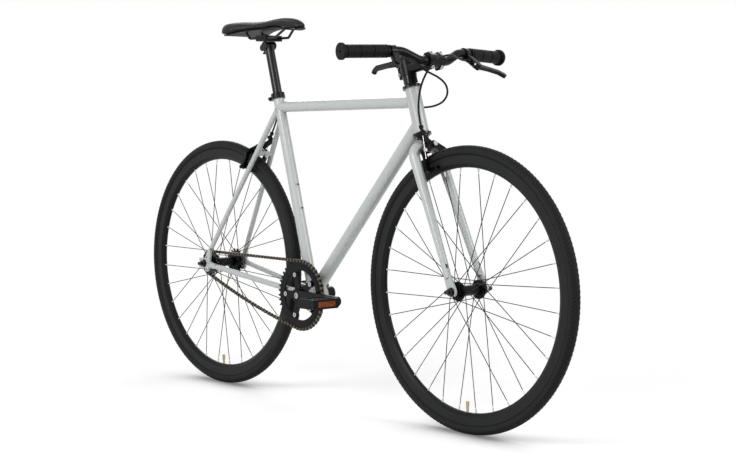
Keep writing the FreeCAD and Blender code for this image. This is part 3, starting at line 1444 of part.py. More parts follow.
def brake_levers():
    """Lever brackets with their pins, and the levers, in axes along the bar."""
    foot = grip_inner - bar_outward * lever_place
    lean = math.radians(lever_angle)
    reach = vec(math.cos(lean), 0, -math.sin(lean))
    reach = unit(reach - bar_outward * reach.dot(bar_outward))
    normal = reach.cross(bar_outward)
    half_width = lever_clamp_width / 2
    pivot = vec(lever_reach, lever_pivot_out, 0)
    half_lever = lever_thickness / 2
    half_body = half_lever + running_gap + lever_cheek
    clamp_radius = bar_radius + lever_clamp_wall
    body_start = vec(clamp_radius, 0, -half_body)
    pieces = [rod(vec(0, -half_width, 0), vec(0, half_width, 0), clamp_radius),
              strap(body_start, pivot - height(half_body), lever_body_half, lever_root_half,
                    height(2 * half_body))]
    barrel_root = vec(lever_barrel_reach, 0, 0)
    barrel_end = barrel_root - vec(0, lever_barrel_in, 0)
    pieces.append(rod(barrel_root, barrel_end, ferrule_radius + lever_cheek / 2))
    slot_start = lever_reach - 2 * lever_root_half
    slot_half = half_lever + running_gap
    slot = block(vec(slot_start + lever_reach, 0, 0), 2 * lever_reach, 4 * lever_reach, 2 * slot_half)
    tools = [slot, rod(vec(0, -lever_reach, 0), vec(0, lever_reach, 0), bar_radius + fit_gap),
             rod(barrel_end, barrel_end + vec(0, ferrule_length, 0), cable_radius + fit_gap),
             rod(pivot - height(2 * half_body), pivot + height(2 * half_body), lever_pivot_radius + fit_gap)]
    bracket_solid = joined(pieces).cut(tools)
    pin = rod(pivot - height(half_body), pivot + height(half_body), lever_pivot_radius)
    low = height(half_lever)
    knee, hook = [pivot + vec(flare * lever_flare, run * lever_length, 0)
                  for flare, run in (lever_knee_shares, lever_hook_shares)]
    tip = pivot + vec(lever_flare, lever_length, 0)
    stations = [(pivot, lever_root_half), (knee, lever_blade_half), (hook, lever_blade_half),
                (tip, lever_tip_half)]
    blade = [strap(a - low, b - low, a_half, b_half, height(lever_thickness))
             for (a, a_half), (b, b_half) in zip(stations, stations[1:])]
    lever = joined(blade).cut(rod(pivot - height(lever_reach), pivot + height(lever_reach),
                                  lever_pivot_radius + running_gap))

    def at_bar(shape):
        return placed(shape, foot, reach, bar_outward, normal)

    brackets = [at_bar(bracket_solid), at_bar(pin)]
    save("lever_brackets", *brackets, *[mirrored(piece) for piece in brackets])
    save("left_brake_lever", at_bar(lever))
    save("right_brake_lever", mirrored(at_bar(lever)))

    def to_world(point):
        return foot + reach * point.x + bar_outward * point.y + normal * point.z

    print("left lever pivot", to_world(pivot), "axis", normal)
    inside = barrel_end + vec(0, ferrule_length - fit_gap, 0)
    return to_world(inside), to_world(barrel_end)


def caliper(mount_half):
    """Side-pull caliper on its own axes: out along the bolt, cable at negative Y, up from the wheel."""
    middle = vec(0, 0, 0)
    layers = (brake_seat, brake_seat + arm_thickness + arm_gap)
    depth = vec(arm_thickness, 0, 0)
    nut_face = -mount_half - brake_nut_length
    bolt_end = layers[1] + arm_thickness + arm_gap
    head_end = bolt_end + brake_bolt_head
    seat_end = brake_seat - arm_gap
    bolt = joined([rod(vec(nut_face, 0, 0), vec(head_end, 0, 0), brake_bolt_radius),
                   rod(vec(bolt_end, 0, 0), vec(head_end, 0, 0), 2 * brake_bolt_radius)])
    seat = rod(vec(mount_half + fit_gap, 0, 0), vec(seat_end, 0, 0), arm_hub_radius - arm_gap)
    nut = rod(vec(nut_face, 0, 0), vec(-mount_half - fit_gap, 0, 0), brake_nut_radius)
    clear = rod(vec(2 * nut_face, 0, 0), vec(2 * head_end, 0, 0), brake_bolt_radius + fit_gap)
    turning = rod(vec(2 * nut_face, 0, 0), vec(2 * head_end, 0, 0), brake_bolt_radius + running_gap)
    fixed = [bolt, seat.cut(clear), nut.cut(clear)]
    pad_face = rim_half + pad_rest_gap
    pad_back = pad_face + pad_thickness
    holder_back = pad_back + pad_holder_thickness
    leg_out = holder_back + arm_half_width + fit_gap
    pad_middle = brake_seat + arm_thickness
    arms = []
    for side, layer in ((1, layers[1]), (-1, layers[0])):
        root = vec(layer, 0, 0)
        shoulder = vec(layer, side * arm_shoulder_out, -arm_shoulder_drop)
        leg = vec(layer, side * leg_out, -arm_leg_drop)
        foot = vec(layer, side * leg_out, -pad_drop)
        pieces = [strap(root, shoulder, arm_hub_radius, arm_half_width, depth),
                  strap(shoulder, leg, arm_half_width, arm_half_width, depth),
                  strap(leg, foot, arm_half_width, arm_half_width, depth)]
        shoe_at = vec(layer + arm_thickness / 2, side * holder_back, -pad_drop)
        bolt_out = vec(shoe_at.x, side * (leg_out + arm_half_width), -pad_drop)
        bolt_head = bolt_out + vec(0, side * pad_bolt_head, 0)
        tools = [turning, rod(shoe_at, bolt_head, pad_bolt_radius + fit_gap)]
        extras = []
        if side > 0:
            anchor = vec(layer, -anchor_out, -anchor_drop)
            pieces.append(strap(root, anchor, arm_hub_radius, arm_half_width, depth))
            face = anchor + depth
            wire_at = face + vec(wire_radius + fit_gap, 0, 0)
            head = rod(face + vec(2 * (wire_radius + fit_gap), 0, 0),
                       face + vec(anchor_bolt_length, 0, 0), anchor_bolt_radius)
            stud = rod(face, face + vec(anchor_bolt_length, 0, 0), anchor_bolt_radius / 2)
            slot = block(wire_at, 4 * wire_radius, 2 * (wire_radius + running_gap), 4 * anchor_bolt_radius)
            extras.append(joined([head, stud.cut(slot)]))
            wire_line = vec(0, anchor_out - barrel_out, anchor_drop + barrel_rise)
            wire_top = wire_at + wire_line
            extras.append(rod(wire_at - unit(wire_line) * wire_tail, wire_top, wire_radius))
            barrel_at = wire_top
        else:
            boss = vec(layer, -barrel_out, barrel_rise)
            pieces.append(strap(root, boss, arm_hub_radius, arm_half_width, depth))
            boss_end = vec(barrel_at.x + barrel_head_radius, boss.y, boss.z)
            pieces.append(rod(boss, boss_end, arm_half_width))
            low = barrel_at - height(arm_half_width + arm_gap)
            top = low + height(barrel_length)
            barrel = joined([rod(low, top, barrel_radius),
                             rod(top, top + height(barrel_head), barrel_head_radius)])
            bore = rod(low - height(overrun), top + height(2 * barrel_head), barrel_bore_radius)
            tools.append(rod(low - height(overrun), top, barrel_radius + braze_gap))
            extras.append(barrel.cut(bore))
            cable_seat = top + height(fit_gap)
            cable_mouth = top + height(barrel_head)
        shoe = joined([block(vec(pad_middle, side * (pad_back + holder_back) / 2, -pad_drop),
                             pad_length, pad_holder_thickness, pad_height),
                       rod(vec(shoe_at.x, side * pad_back, -pad_drop), bolt_head, pad_bolt_radius),
                       rod(bolt_out, bolt_head, pad_bolt_head_radius)])
        pad = block(vec(pad_middle, side * (pad_face + pad_back) / 2, -pad_drop),
                    pad_length, pad_thickness, pad_height)
        arms.append([joined(pieces).cut(tools), shoe, pad] + extras)
    return fixed, arms[0], arms[1], cable_seat, cable_mouth


def brakes():
    """The same caliper on the fork and, turned round, on the seatstay bridge."""
    front_axes = (steer_foot + steer_up * brake_height, steer_fore, across, steer_up)
    rear_axes = (bridge_middle, rear_brake_out, across * -1, rear_brake_up)
    ends = []
    for name, axes, mount_half, anchor_side, barrel_side in (
            ("front", front_axes, steerer_radius, "left", "right"),
            ("rear", rear_axes, brake_bridge_radius, "right", "left")):
        fixed, anchor_arm, barrel_arm, seat, mouth = caliper(mount_half)
        save(name + "_brake_bolt", *[placed(solid, *axes) for solid in fixed])
        save(name + "_brake_arm_" + anchor_side, *[placed(solid, *axes) for solid in anchor_arm])
        save(name + "_brake_arm_" + barrel_side, *[placed(solid, *axes) for solid in barrel_arm])
        ends.append([axes[0] + axes[1] * point.x + axes[2] * point.y + axes[3] * point.z
                     for point in (seat, mouth)])
    return ends


lever_inside, lever_mouth = brake_levers()
front_end, rear_end_points = brakes()


def seat():
    """Seatpost, the clamp on its head, and the saddle on its rails."""
    pivot = seat_top + seat_up * post_exposed
    foot = seat_top - seat_up * post_insertion
    half_ear = clamp_ear_width / 2
    ear = pivot - vec(clamp_bolt_back, 0, clamp_ear_drop)
    post = joined([pipe(foot, pivot, post_radius, post_wall),
                   rod(pivot - seat_up * (2 * post_radius), pivot, post_radius),
                   rod(at_side(pivot, -post_head_length / 2), at_side(pivot, post_head_length / 2),
                       post_head_radius),
                   strap(at_side(pivot, -half_ear), at_side(ear, -half_ear), post_head_radius,
                         clamp_ear_radius, across * clamp_ear_width)])
    bolt_low = pivot - vec(clamp_bolt_back, 0, clamp_bolt_drop)
    cradle_low = post_head_radius + running_gap
    rail_height = cradle_low + clamp_plate + rail_radius
    plate_top = rail_height + clamp_split / 2 + clamp_top_plate
    bolt_high = vec(bolt_low.x, 0, pivot.z + plate_top + clamp_bolt_head)
    post = post.cut(rod(bolt_low, bolt_high, clamp_bolt_radius + clamp_bolt_play))
    save("seatpost", post)

    def plate(low, high):
        return block(pivot + height((low + high) / 2), clamp_length, clamp_width, high - low)

    grooves = [rod(at_side(pivot, side * rail_spread) + vec(-saddle_length, 0, rail_height),
                   at_side(pivot, side * rail_spread) + vec(saddle_length, 0, rail_height),
                   rail_radius + running_gap) for side in (-1, 1)]
    hole = rod(bolt_low, bolt_high, clamp_bolt_radius + fit_gap)
    plates = [plate(cradle_low, rail_height - clamp_split / 2),
              plate(rail_height + clamp_split / 2, plate_top)]
    plates = [solid.cut(grooves + [hole]) for solid in plates]
    bolt = joined([rod(bolt_low, bolt_high, clamp_bolt_radius),
                   rod(bolt_low, bolt_low + height(clamp_bolt_head), clamp_bolt_head_radius),
                   rod(bolt_high - height(clamp_bolt_head - fit_gap), bolt_high, clamp_bolt_head_radius)])
    save("saddle_clamp", *plates, bolt)

    nose = pivot + vec(saddle_nose_ahead, 0, saddle_top_height)

    def stations():
        for place, half, top, edge in saddle_shares:
            yield (nose.x - place * saddle_length, half * saddle_width / 2,
                   nose.z - top * saddle_depth, nose.z - edge * saddle_depth)

    def cover_section(x, half, top, low):
        rise = top - low
        shoulder = (half * saddle_shoulder_share, top - rise * saddle_shoulder_drop_share)
        side = (half * saddle_side_share, low + rise * saddle_side_height_share)

        def curve(first, middle, last):
            return Part.Arc(vec(x, *first), vec(x, *middle), vec(x, *last)).toShape()

        edges = [curve((half, low), side, shoulder),
                 curve(shoulder, (0, top), (-shoulder[0], shoulder[1])),
                 curve((-shoulder[0], shoulder[1]), (-side[0], side[1]), (-half, low)),
                 Part.LineSegment(vec(x, -half, low), vec(x, half, low)).toShape()]
        return Part.Wire(edges)

    def slab(width_share, below, above):
        wires = []
        for x, half, _, low in stations():
            out = half * width_share
            wires.append(Part.makePolygon([vec(x, out, low - below), vec(x, out, low + above),
                                           vec(x, -out, low + above), vec(x, -out, low - below),
                                           vec(x, out, low - below)]))
        return Part.makeLoft(wires, True, False)

    cover = Part.makeLoft([cover_section(*station) for station in stations()], True, False)
    base = slab(saddle_base_width_share, saddle_base_thickness + running_gap, -running_gap)
    above = slab(1, saddle_base_thickness + running_gap, saddle_depth)
    rails = []
    for side in (-1, 1):
        low = at_side(pivot, side * rail_spread) + height(rail_height)
        half = vec(rail_low_length / 2, 0, 0)
        front = low + half
        rear = low - half
        lift = height(rail_rise)
        points = [at_side(front, side * (rail_front_spread - rail_spread)) + vec(rail_front_run, 0, 0)
                  + lift, front, rear,
                  at_side(rear, side * (rail_rear_spread - rail_spread)) - vec(rail_rear_run, 0, 0) + lift]
        rail = swept(bent_path(points, [rail_bend_radius] * 2), rail_radius).cut(above)
        rails.append(max(rail.Solids, key=lambda solid: solid.Volume))
    save("saddle_cover", cover)
    save("saddle_base", base)
    save("saddle_rails", *rails)
    print("saddle pivot", pivot)


seat()


def cord(points, name):
    """Housing along a route whose bends are as wide as its runs allow."""
    radii = []
    for before, point, after in zip(points, points[1:], points[2:]):
        turn = (point - before).getAngle(after - point)
        shorter = min((point - before).Length, (after - point).Length)
        radii.append(cord_bend_share * shorter / math.tan(turn / 2))
    path = bent_path(points, radii)
    solid = swept(path, cable_radius)
    print(name, "least bend", round(min(radii), 1), "length", round(path.Length, 1), "volume ratio",
          round(solid.Volume / (path.Length * math.pi * cable_radius ** 2), 4))
    return solid


def cables():
    """Front cable, the rear cable's loop at the head tube, and its run along the frame."""
    front_seat, front_mouth = front_end
    inward = unit(lever_mouth - lever_inside)
    route = [lever_inside, lever_mouth + inward * cable_lead] + [vec(*point) for point in front_route]
    save("front_brake_cable", cord(route + [front_mouth + steer_up * cable_lead, front_seat], "front cable"))
    along = unit(top_front - top_rear)
    guides = [top_rear + (top_front - top_rear) * share + guide_offset for share in guide_place_shares]
    meeting = guides[-1] + along * (guide_length / 2)
    start = [vec(point.x, -point.y, point.z) for point in (lever_inside, lever_mouth + inward * cable_lead)]
    route = start + [vec(*point) for point in loop_route]
    save("rear_cable_loop", cord(route + [meeting + along * cable_lead, meeting], "rear loop"))
    rear_seat, rear_mouth = rear_end_points
    route = [meeting, guides[0] - along * (guide_length / 2 + cable_lead / 2)]
    route += [vec(*point) for point in rear_route]
    route += [rear_mouth + rear_brake_up * cable_lead, rear_seat]
    save("rear_brake_cable", cord(route, "rear cable"))


cables()
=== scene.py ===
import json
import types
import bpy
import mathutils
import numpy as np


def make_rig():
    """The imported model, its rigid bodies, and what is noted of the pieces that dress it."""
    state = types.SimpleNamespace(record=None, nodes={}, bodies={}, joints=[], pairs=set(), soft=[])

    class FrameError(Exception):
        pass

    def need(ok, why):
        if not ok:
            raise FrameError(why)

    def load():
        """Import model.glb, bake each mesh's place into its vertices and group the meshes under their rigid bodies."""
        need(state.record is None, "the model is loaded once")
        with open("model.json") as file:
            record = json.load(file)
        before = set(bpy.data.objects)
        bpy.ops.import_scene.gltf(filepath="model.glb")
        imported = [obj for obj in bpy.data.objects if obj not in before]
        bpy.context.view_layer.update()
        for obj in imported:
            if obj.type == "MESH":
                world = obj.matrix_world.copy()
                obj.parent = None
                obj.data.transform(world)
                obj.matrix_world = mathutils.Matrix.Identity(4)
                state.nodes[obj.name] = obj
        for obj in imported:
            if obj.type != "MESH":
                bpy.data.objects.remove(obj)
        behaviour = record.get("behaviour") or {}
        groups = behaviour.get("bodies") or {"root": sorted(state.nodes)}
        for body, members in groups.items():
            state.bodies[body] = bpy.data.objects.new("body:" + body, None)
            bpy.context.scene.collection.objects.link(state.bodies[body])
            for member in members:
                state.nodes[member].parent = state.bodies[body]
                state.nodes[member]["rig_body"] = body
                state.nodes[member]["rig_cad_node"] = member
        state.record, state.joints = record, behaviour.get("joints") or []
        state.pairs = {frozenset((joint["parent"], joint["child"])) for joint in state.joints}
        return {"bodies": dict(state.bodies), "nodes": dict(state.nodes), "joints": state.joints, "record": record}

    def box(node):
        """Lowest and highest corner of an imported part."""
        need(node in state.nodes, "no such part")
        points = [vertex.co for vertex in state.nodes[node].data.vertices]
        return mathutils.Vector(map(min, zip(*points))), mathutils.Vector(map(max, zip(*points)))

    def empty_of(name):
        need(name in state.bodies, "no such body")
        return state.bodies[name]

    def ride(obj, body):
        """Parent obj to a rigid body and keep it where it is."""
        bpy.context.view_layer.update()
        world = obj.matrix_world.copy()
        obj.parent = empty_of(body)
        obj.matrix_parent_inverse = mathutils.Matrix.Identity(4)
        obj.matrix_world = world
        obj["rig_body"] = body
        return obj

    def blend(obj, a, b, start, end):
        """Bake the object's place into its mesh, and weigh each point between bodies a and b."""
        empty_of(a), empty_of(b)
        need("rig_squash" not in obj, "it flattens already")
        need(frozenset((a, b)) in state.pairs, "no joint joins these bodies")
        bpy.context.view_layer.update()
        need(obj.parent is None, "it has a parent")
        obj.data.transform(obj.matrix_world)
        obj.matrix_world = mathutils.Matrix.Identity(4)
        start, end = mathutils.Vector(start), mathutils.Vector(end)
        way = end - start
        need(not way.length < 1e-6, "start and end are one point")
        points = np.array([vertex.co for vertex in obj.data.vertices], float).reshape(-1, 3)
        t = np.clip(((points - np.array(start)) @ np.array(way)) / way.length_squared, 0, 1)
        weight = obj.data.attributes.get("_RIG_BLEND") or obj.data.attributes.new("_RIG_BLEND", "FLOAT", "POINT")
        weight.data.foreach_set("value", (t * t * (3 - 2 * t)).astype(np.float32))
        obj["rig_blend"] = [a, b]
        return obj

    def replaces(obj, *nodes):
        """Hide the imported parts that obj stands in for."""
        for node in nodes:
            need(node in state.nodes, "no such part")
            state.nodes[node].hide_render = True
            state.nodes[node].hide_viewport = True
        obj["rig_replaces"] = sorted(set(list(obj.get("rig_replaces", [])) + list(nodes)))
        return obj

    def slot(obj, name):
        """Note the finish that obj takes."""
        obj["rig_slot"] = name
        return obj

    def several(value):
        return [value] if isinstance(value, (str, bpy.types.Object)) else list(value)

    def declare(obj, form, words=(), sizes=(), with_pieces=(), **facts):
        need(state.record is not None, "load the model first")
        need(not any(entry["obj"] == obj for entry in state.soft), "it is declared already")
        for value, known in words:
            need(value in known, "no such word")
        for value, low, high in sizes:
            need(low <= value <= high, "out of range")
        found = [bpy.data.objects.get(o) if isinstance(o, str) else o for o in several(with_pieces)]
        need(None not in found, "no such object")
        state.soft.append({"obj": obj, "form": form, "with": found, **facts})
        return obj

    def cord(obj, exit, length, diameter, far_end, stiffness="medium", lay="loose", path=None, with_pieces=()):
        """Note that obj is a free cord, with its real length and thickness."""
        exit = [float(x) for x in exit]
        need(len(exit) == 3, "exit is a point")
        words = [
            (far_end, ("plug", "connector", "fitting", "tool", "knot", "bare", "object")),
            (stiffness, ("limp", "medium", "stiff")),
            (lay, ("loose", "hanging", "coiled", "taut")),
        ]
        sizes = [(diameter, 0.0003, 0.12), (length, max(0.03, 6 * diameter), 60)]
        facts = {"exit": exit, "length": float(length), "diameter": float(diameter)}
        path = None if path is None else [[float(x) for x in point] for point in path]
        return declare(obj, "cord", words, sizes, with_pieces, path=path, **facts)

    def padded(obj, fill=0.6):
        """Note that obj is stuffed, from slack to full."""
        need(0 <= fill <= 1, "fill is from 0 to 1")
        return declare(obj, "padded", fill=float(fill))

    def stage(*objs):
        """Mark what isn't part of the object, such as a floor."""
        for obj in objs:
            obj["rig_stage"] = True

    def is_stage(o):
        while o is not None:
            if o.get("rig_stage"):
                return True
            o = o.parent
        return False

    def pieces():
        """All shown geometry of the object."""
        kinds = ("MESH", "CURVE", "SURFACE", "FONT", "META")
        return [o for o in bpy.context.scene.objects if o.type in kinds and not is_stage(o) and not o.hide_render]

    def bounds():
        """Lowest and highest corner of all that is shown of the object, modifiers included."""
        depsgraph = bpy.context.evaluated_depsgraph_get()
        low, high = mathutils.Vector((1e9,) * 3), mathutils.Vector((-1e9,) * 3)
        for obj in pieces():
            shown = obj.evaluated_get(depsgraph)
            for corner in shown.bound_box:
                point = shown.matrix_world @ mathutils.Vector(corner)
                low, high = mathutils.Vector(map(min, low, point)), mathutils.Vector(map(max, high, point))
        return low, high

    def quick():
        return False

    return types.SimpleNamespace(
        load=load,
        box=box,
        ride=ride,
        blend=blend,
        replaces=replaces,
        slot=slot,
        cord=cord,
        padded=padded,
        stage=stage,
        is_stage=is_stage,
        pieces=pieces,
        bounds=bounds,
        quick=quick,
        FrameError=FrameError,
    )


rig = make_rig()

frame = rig.load()

import json
import math

import bmesh
import bpy
from mathutils import Matrix, Vector

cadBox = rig.bounds()
nodes = frame["nodes"]
weldGap = 1e-6  # points closer than this are one
print("frame loaded,", len(nodes), "nodes")


# camera at the photograph's angle
cameraSet = {"place": (3.06836, -2.58441, 0.73249), "target": (0.1278, 0.0, 0.45745),
             "roll": 0.1725, "lens": 76.72, "sensor": 36.0}


def makeCamera():
    data = bpy.data.cameras.new("photoCamera")
    data.lens = cameraSet["lens"]
    data.sensor_width = cameraSet["sensor"]
    data.sensor_fit = "HORIZONTAL"
    camera = bpy.data.objects.new("photoCamera", data)
    bpy.context.scene.collection.objects.link(camera)
    place = Vector(cameraSet["place"])
    turn = (Vector(cameraSet["target"]) - place).to_track_quat("-Z", "Y").to_matrix().to_4x4()
    roll = Matrix.Rotation(math.radians(cameraSet["roll"]), 4, "Z")
    camera.matrix_world = Matrix.Translation(place) @ turn @ roll
    bpy.context.scene.camera = camera


makeCamera()
bpy.context.scene.view_settings.view_transform = "Standard"
print("camera placed")


# a socket that takes part in Python expressions
class Tap:
    def __init__(self, tree, socket):
        self.tree = tree
        self.socket = socket

    def sum(self, operation, first, second=None):
        made = self.tree.nodes.new("ShaderNodeMath")
        made.operation = operation
        for place, value in enumerate((first, second)):
            if isinstance(value, Tap):
                self.tree.links.new(value.socket, made.inputs[place])
            elif value is not None:
                made.inputs[place].default_value = value
        return Tap(self.tree, made.outputs[0])

    def __add__(self, other):
        return self.sum("ADD", self, other)

    def __radd__(self, other):
        return self.sum("ADD", other, self)

    def __sub__(self, other):
        return self.sum("SUBTRACT", self, other)

    def __rsub__(self, other):
        return self.sum("SUBTRACT", other, self)

    def __mul__(self, other):
        return self.sum("MULTIPLY", self, other)

    def __pow__(self, other):
        return self.sum("POWER", self, other)

    def __gt__(self, other):
        return self.sum("GREATER_THAN", self, other)

    def __lt__(self, other):
        return self.sum("LESS_THAN", self, other)

    def __abs__(self):
        return self.sum("ABSOLUTE", self)

    def sine(self):
        return self.sum("SINE", self)

    def most(self, other):
        return self.sum("MAXIMUM", self, other)

    def turn(self, other):
        return self.sum("ARCTAN2", self, other)


def linear(red, green, blue):  # a screen colour, 0 to 255, as the shader wants it
    shares = [value / 255 for value in (red, green, blue)]
    curved = [share / 12.92 if share < 11 / 255 else ((share + 0.055) / 1.055) ** 2.4 for share in shares]
    return (*curved, 1.0)


# one finish: a material whose nodes are added by name
class Finish:
    def __init__(self, name, **constants):
        self.material = bpy.data.materials.new(name)
        self.material.use_nodes = True
        self.tree = self.material.node_tree
        self.shader = self.tree.nodes["Principled BSDF"]
        for socket, value in constants.items():
            self.shader.inputs[socket.replace("_", " ")].default_value = value
        self.place = self.node("ShaderNodeTexCoord", out="Object")
        parts = self.node("ShaderNodeSeparateXYZ", sockets={0: self.place}).socket.node
        self.x, self.y, self.z = (Tap(self.tree, parts.outputs[axis]) for axis in range(3))

    def node(self, kind, settings=None, sockets=None, out=0):
        made = self.tree.nodes.new(kind)
        for name, value in (settings or {}).items():
            setattr(made, name, value)
        for key, value in (sockets or {}).items():
            if isinstance(value, Tap):
                self.tree.links.new(value.socket, made.inputs[key])
            else:
                made.inputs[key].default_value = value
        return Tap(self.tree, made.outputs[out])

    def feed(self, socket, tap):
        self.tree.links.new(tap.socket, self.shader.inputs[socket])

    def noise(self, scale, detail, rough=0.5):
        return self.node("ShaderNodeTexNoise", None, {"Vector": self.place, "Scale": scale, "Detail": detail,
                                                      "Roughness": rough}, "Fac")

    def span(self, value, low, high, first=0.0, last=1.0):  # smooth step between two values
        return self.node("ShaderNodeMapRange", {"interpolation_type": "SMOOTHSTEP"},
                         {"Value": value, "From Min": low, "From Max": high, "To Min": first, "To Max": last})

    def blend(self, factor, first, second):
        return self.node("ShaderNodeMix", {"data_type": "RGBA"}, {0: factor, 6: first, 7: second}, 2)

    def bump(self, height, distance, strength):
        self.feed("Normal", self.node("ShaderNodeBump", None, {"Height": height, "Distance": distance,
                                                               "Strength": strength}))

    def radius(self, centre):  # distance from a cross axle through centre
        across = self.x - centre.x
        rise = self.z - centre.z
        return (across * across + rise * rise) ** 0.5

    def angle(self, centre):  # round the same axle
        return (self.z - centre.z).turn(self.x - centre.x)


def middle(name):
    low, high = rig.box(name)
    return (low + high) / 2


def dress(finish, *names):
    for name in names:
        nodes[name].data.materials.clear()
        nodes[name].data.materials.append(finish.material)


# white studio: floor with a painted contact shadow under the tyres, world and three soft lamps
studioSet = {"floorSize": 40.0, "floorGrey": 0.80, "floorLift": 0.46, "shadowShare": 0.66, "ambient": 0.40,
             "fadeFrom": 1.1, "fadeTo": 1.9, "paintedShadowReach": 0.22, "paintedShadowSamples": 24, "paintedShadowDark": 0.33,
             "paintedShadowFrom": 0.45, "paintedShadowTo": 0.97, "aim": (0.0, 0.0, 0.45),
             "keyPlace": (0.2, -3.4, 2.6), "keySize": 2.2, "keyPower": 100.0,
             "fillPlace": (3.6, 1.2, 2.2), "fillSize": 1.8, "fillPower": 55.0,
             "rimPlace": (-2.4, 2.2, 2.6), "rimSize": 2.2, "rimPower": 30.0}


def seenDirectly(tree):  # 1 on camera, glossy and transmission rays
    path = tree.nodes.new("ShaderNodeLightPath")
    camera, glossy, through = (Tap(tree, path.outputs[name]) for name in
                               ("Is Camera Ray", "Is Glossy Ray", "Is Transmission Ray"))
    return camera.most(glossy).most(through)


def makePaper():
    grey = studioSet["floorGrey"]
    paper = Finish("studioPaper", Base_Color=(grey, grey, grey, 1.0), Roughness=0.9, Specular_IOR_Level=0.0)
    clear = paper.node("ShaderNodeAmbientOcclusion", {"samples": studioSet["paintedShadowSamples"]},
                       {"Distance": studioSet["paintedShadowReach"]}, "AO")
    # painted contact shadow: the paper's glow and colour darker close under the tyres
    near = paper.span(clear, studioSet["paintedShadowFrom"], studioSet["paintedShadowTo"], studioSet["paintedShadowDark"], 1.0)
    lifted = paper.node("ShaderNodeEmission", None, {"Strength": near * studioSet["floorLift"]})
    shade = paper.node("ShaderNodeBsdfDiffuse", None, {"Color": near * studioSet["shadowShare"]})
    both = paper.node("ShaderNodeAddShader", None, {0: lifted, 1: shade})
    away = (paper.x * paper.x + paper.y * paper.y) ** 0.5  # past the object's shadow the paper is plain white
    plain = paper.node("ShaderNodeEmission")
    faded = paper.node("ShaderNodeMixShader", None,
                       {0: paper.span(away, studioSet["fadeFrom"], studioSet["fadeTo"]), 1: both, 2: plain})
    dull = Tap(paper.tree, paper.shader.outputs[0])
    choice = paper.node("ShaderNodeMixShader", None, {0: seenDirectly(paper.tree), 1: dull, 2: faded})
    paper.tree.links.new(choice.socket, paper.tree.nodes["Material Output"].inputs["Surface"])
    return paper


def makeFloor():
    shape = bmesh.new()
    bmesh.ops.create_grid(shape, x_segments=1, y_segments=1, size=studioSet["floorSize"])
    mesh = bpy.data.meshes.new("studioFloor")
    shape.to_mesh(mesh)
    shape.free()
    floor = bpy.data.objects.new("studioFloor", mesh)
    bpy.context.scene.collection.objects.link(floor)
    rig.stage(floor)
    mesh.materials.append(makePaper().material)


def makeWorld():
    world = bpy.data.worlds.new("studioWorld")
    bpy.context.scene.world = world
    world.use_nodes = True
    tree = world.node_tree
    ground = tree.nodes["Background"]
    ground.inputs["Color"].default_value = (1.0, 1.0, 1.0, 1.0)
    strength = seenDirectly(tree) * (1.0 - studioSet["ambient"]) + studioSet["ambient"]
    tree.links.new(strength.socket, ground.inputs["Strength"])


def makeLamp(name):
    data = bpy.data.lights.new(name + "Lamp", "AREA")
    data.shape = "DISK"
    data.size = studioSet[name + "Size"]
    data.energy = studioSet[name + "Power"]
    lamp = bpy.data.objects.new(name + "Lamp", data)
    bpy.context.scene.collection.objects.link(lamp)
    place = Vector(studioSet[name + "Place"])
    aim = (Vector(studioSet["aim"]) - place).to_track_quat("-Z", "Y").to_matrix().to_4x4()
    lamp.matrix_world = Matrix.Translation(place) @ aim
    lamp.visible_camera = False


makeFloor()
makeWorld()
for lampName in ("key", "fill", "rim"):
    makeLamp(lampName)
print("studio lit")


def solved(piece):  # the mesh with its modifiers applied
    return bpy.data.meshes.new_from_object(piece.evaluated_get(bpy.context.evaluated_depsgraph_get()))


def keep(name, shape, body, finish, smooth=True):  # a finished mesh, riding on its body if it has one
    mesh = bpy.data.meshes.new(name)
    shape.to_mesh(mesh)
    shape.free()
    for face in mesh.polygons:
        face.use_smooth = smooth
    piece = bpy.data.objects.new(name, mesh)
    bpy.context.scene.collection.objects.link(piece)
    mesh.materials.append(finish.material)
    if body:
        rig.ride(piece, body)
    return piece


# brake cables: one smooth line each, through the solids' own routes
cableSet = {"radius": 0.0025, "steps": 10, "sides": 5, "colour": (12, 12, 13), "worn": (20, 20, 21),
            "wearScale": 300.0, "grain": 800.0, "rough": 0.34, "roughSpread": 0.15,
            "frontLength": 0.3172, "loopLength": 0.3277, "rearLength": 0.5799,
            "front": [(367.02, 114.88, 878.52), (371.17, 86.34, 879.39), (382, 61, 884), (393, 34, 889),
                      (397, 7, 889), (393, -17, 880), (380, -32, 858), (364, -36, 832), (352, -35.5, 805),
                      (345, -33.5, 775), (346.41, -32, 741.71), (354.4, -32, 717.13)],
            "loop": [(367.02, -114.88, 878.52), (371.17, -86.34, 879.39), (370, -62, 871), (368, -40, 855),
                     (369, -16, 846), (372, 10, 836), (372, 33, 820), (362, 48, 799), (342, 53, 780),
                     (316, 47, 769), (289, 33, 766), (261.34, 16.38, 768.12), (241.34, 16.38, 767.78)],
            "rear": [(241.34, 16.38, 767.78), (-180.0, 16.38, 760.79), (-196.32, 16.38, 760.52),
                     (-226, 24, 763), (-257, 29, 757), (-280, 32, 743), (-292.66, 32, 718.31),
                     (-306.14, 32, 696.26)]}
housing = Finish("cableHousing", Specular_IOR_Level=0.12, Coat_Weight=0.08, Coat_Roughness=0.2)


def makeHousing():
    wear = housing.noise(cableSet["wearScale"], 2.0)
    fine = housing.noise(cableSet["grain"], 2.0)
    housing.feed("Base Color", housing.blend(wear, linear(*cableSet["colour"]), linear(*cableSet["worn"])))
    housing.feed("Roughness", fine * cableSet["roughSpread"] + cableSet["rough"])


def routeLine(name, points):  # the route is in millimetres
    data = bpy.data.curves.new(name, "CURVE")
    data.dimensions = "3D"
    data.resolution_u = cableSet["steps"]
    line = data.splines.new("NURBS")
    line.points.add(len(points) - 1)
    for point, place in zip(line.points, points):
        point.co = tuple(value / 1000 for value in place) + (1.0,)
    line.order_u = 3
    line.use_endpoint_u = True
    return data


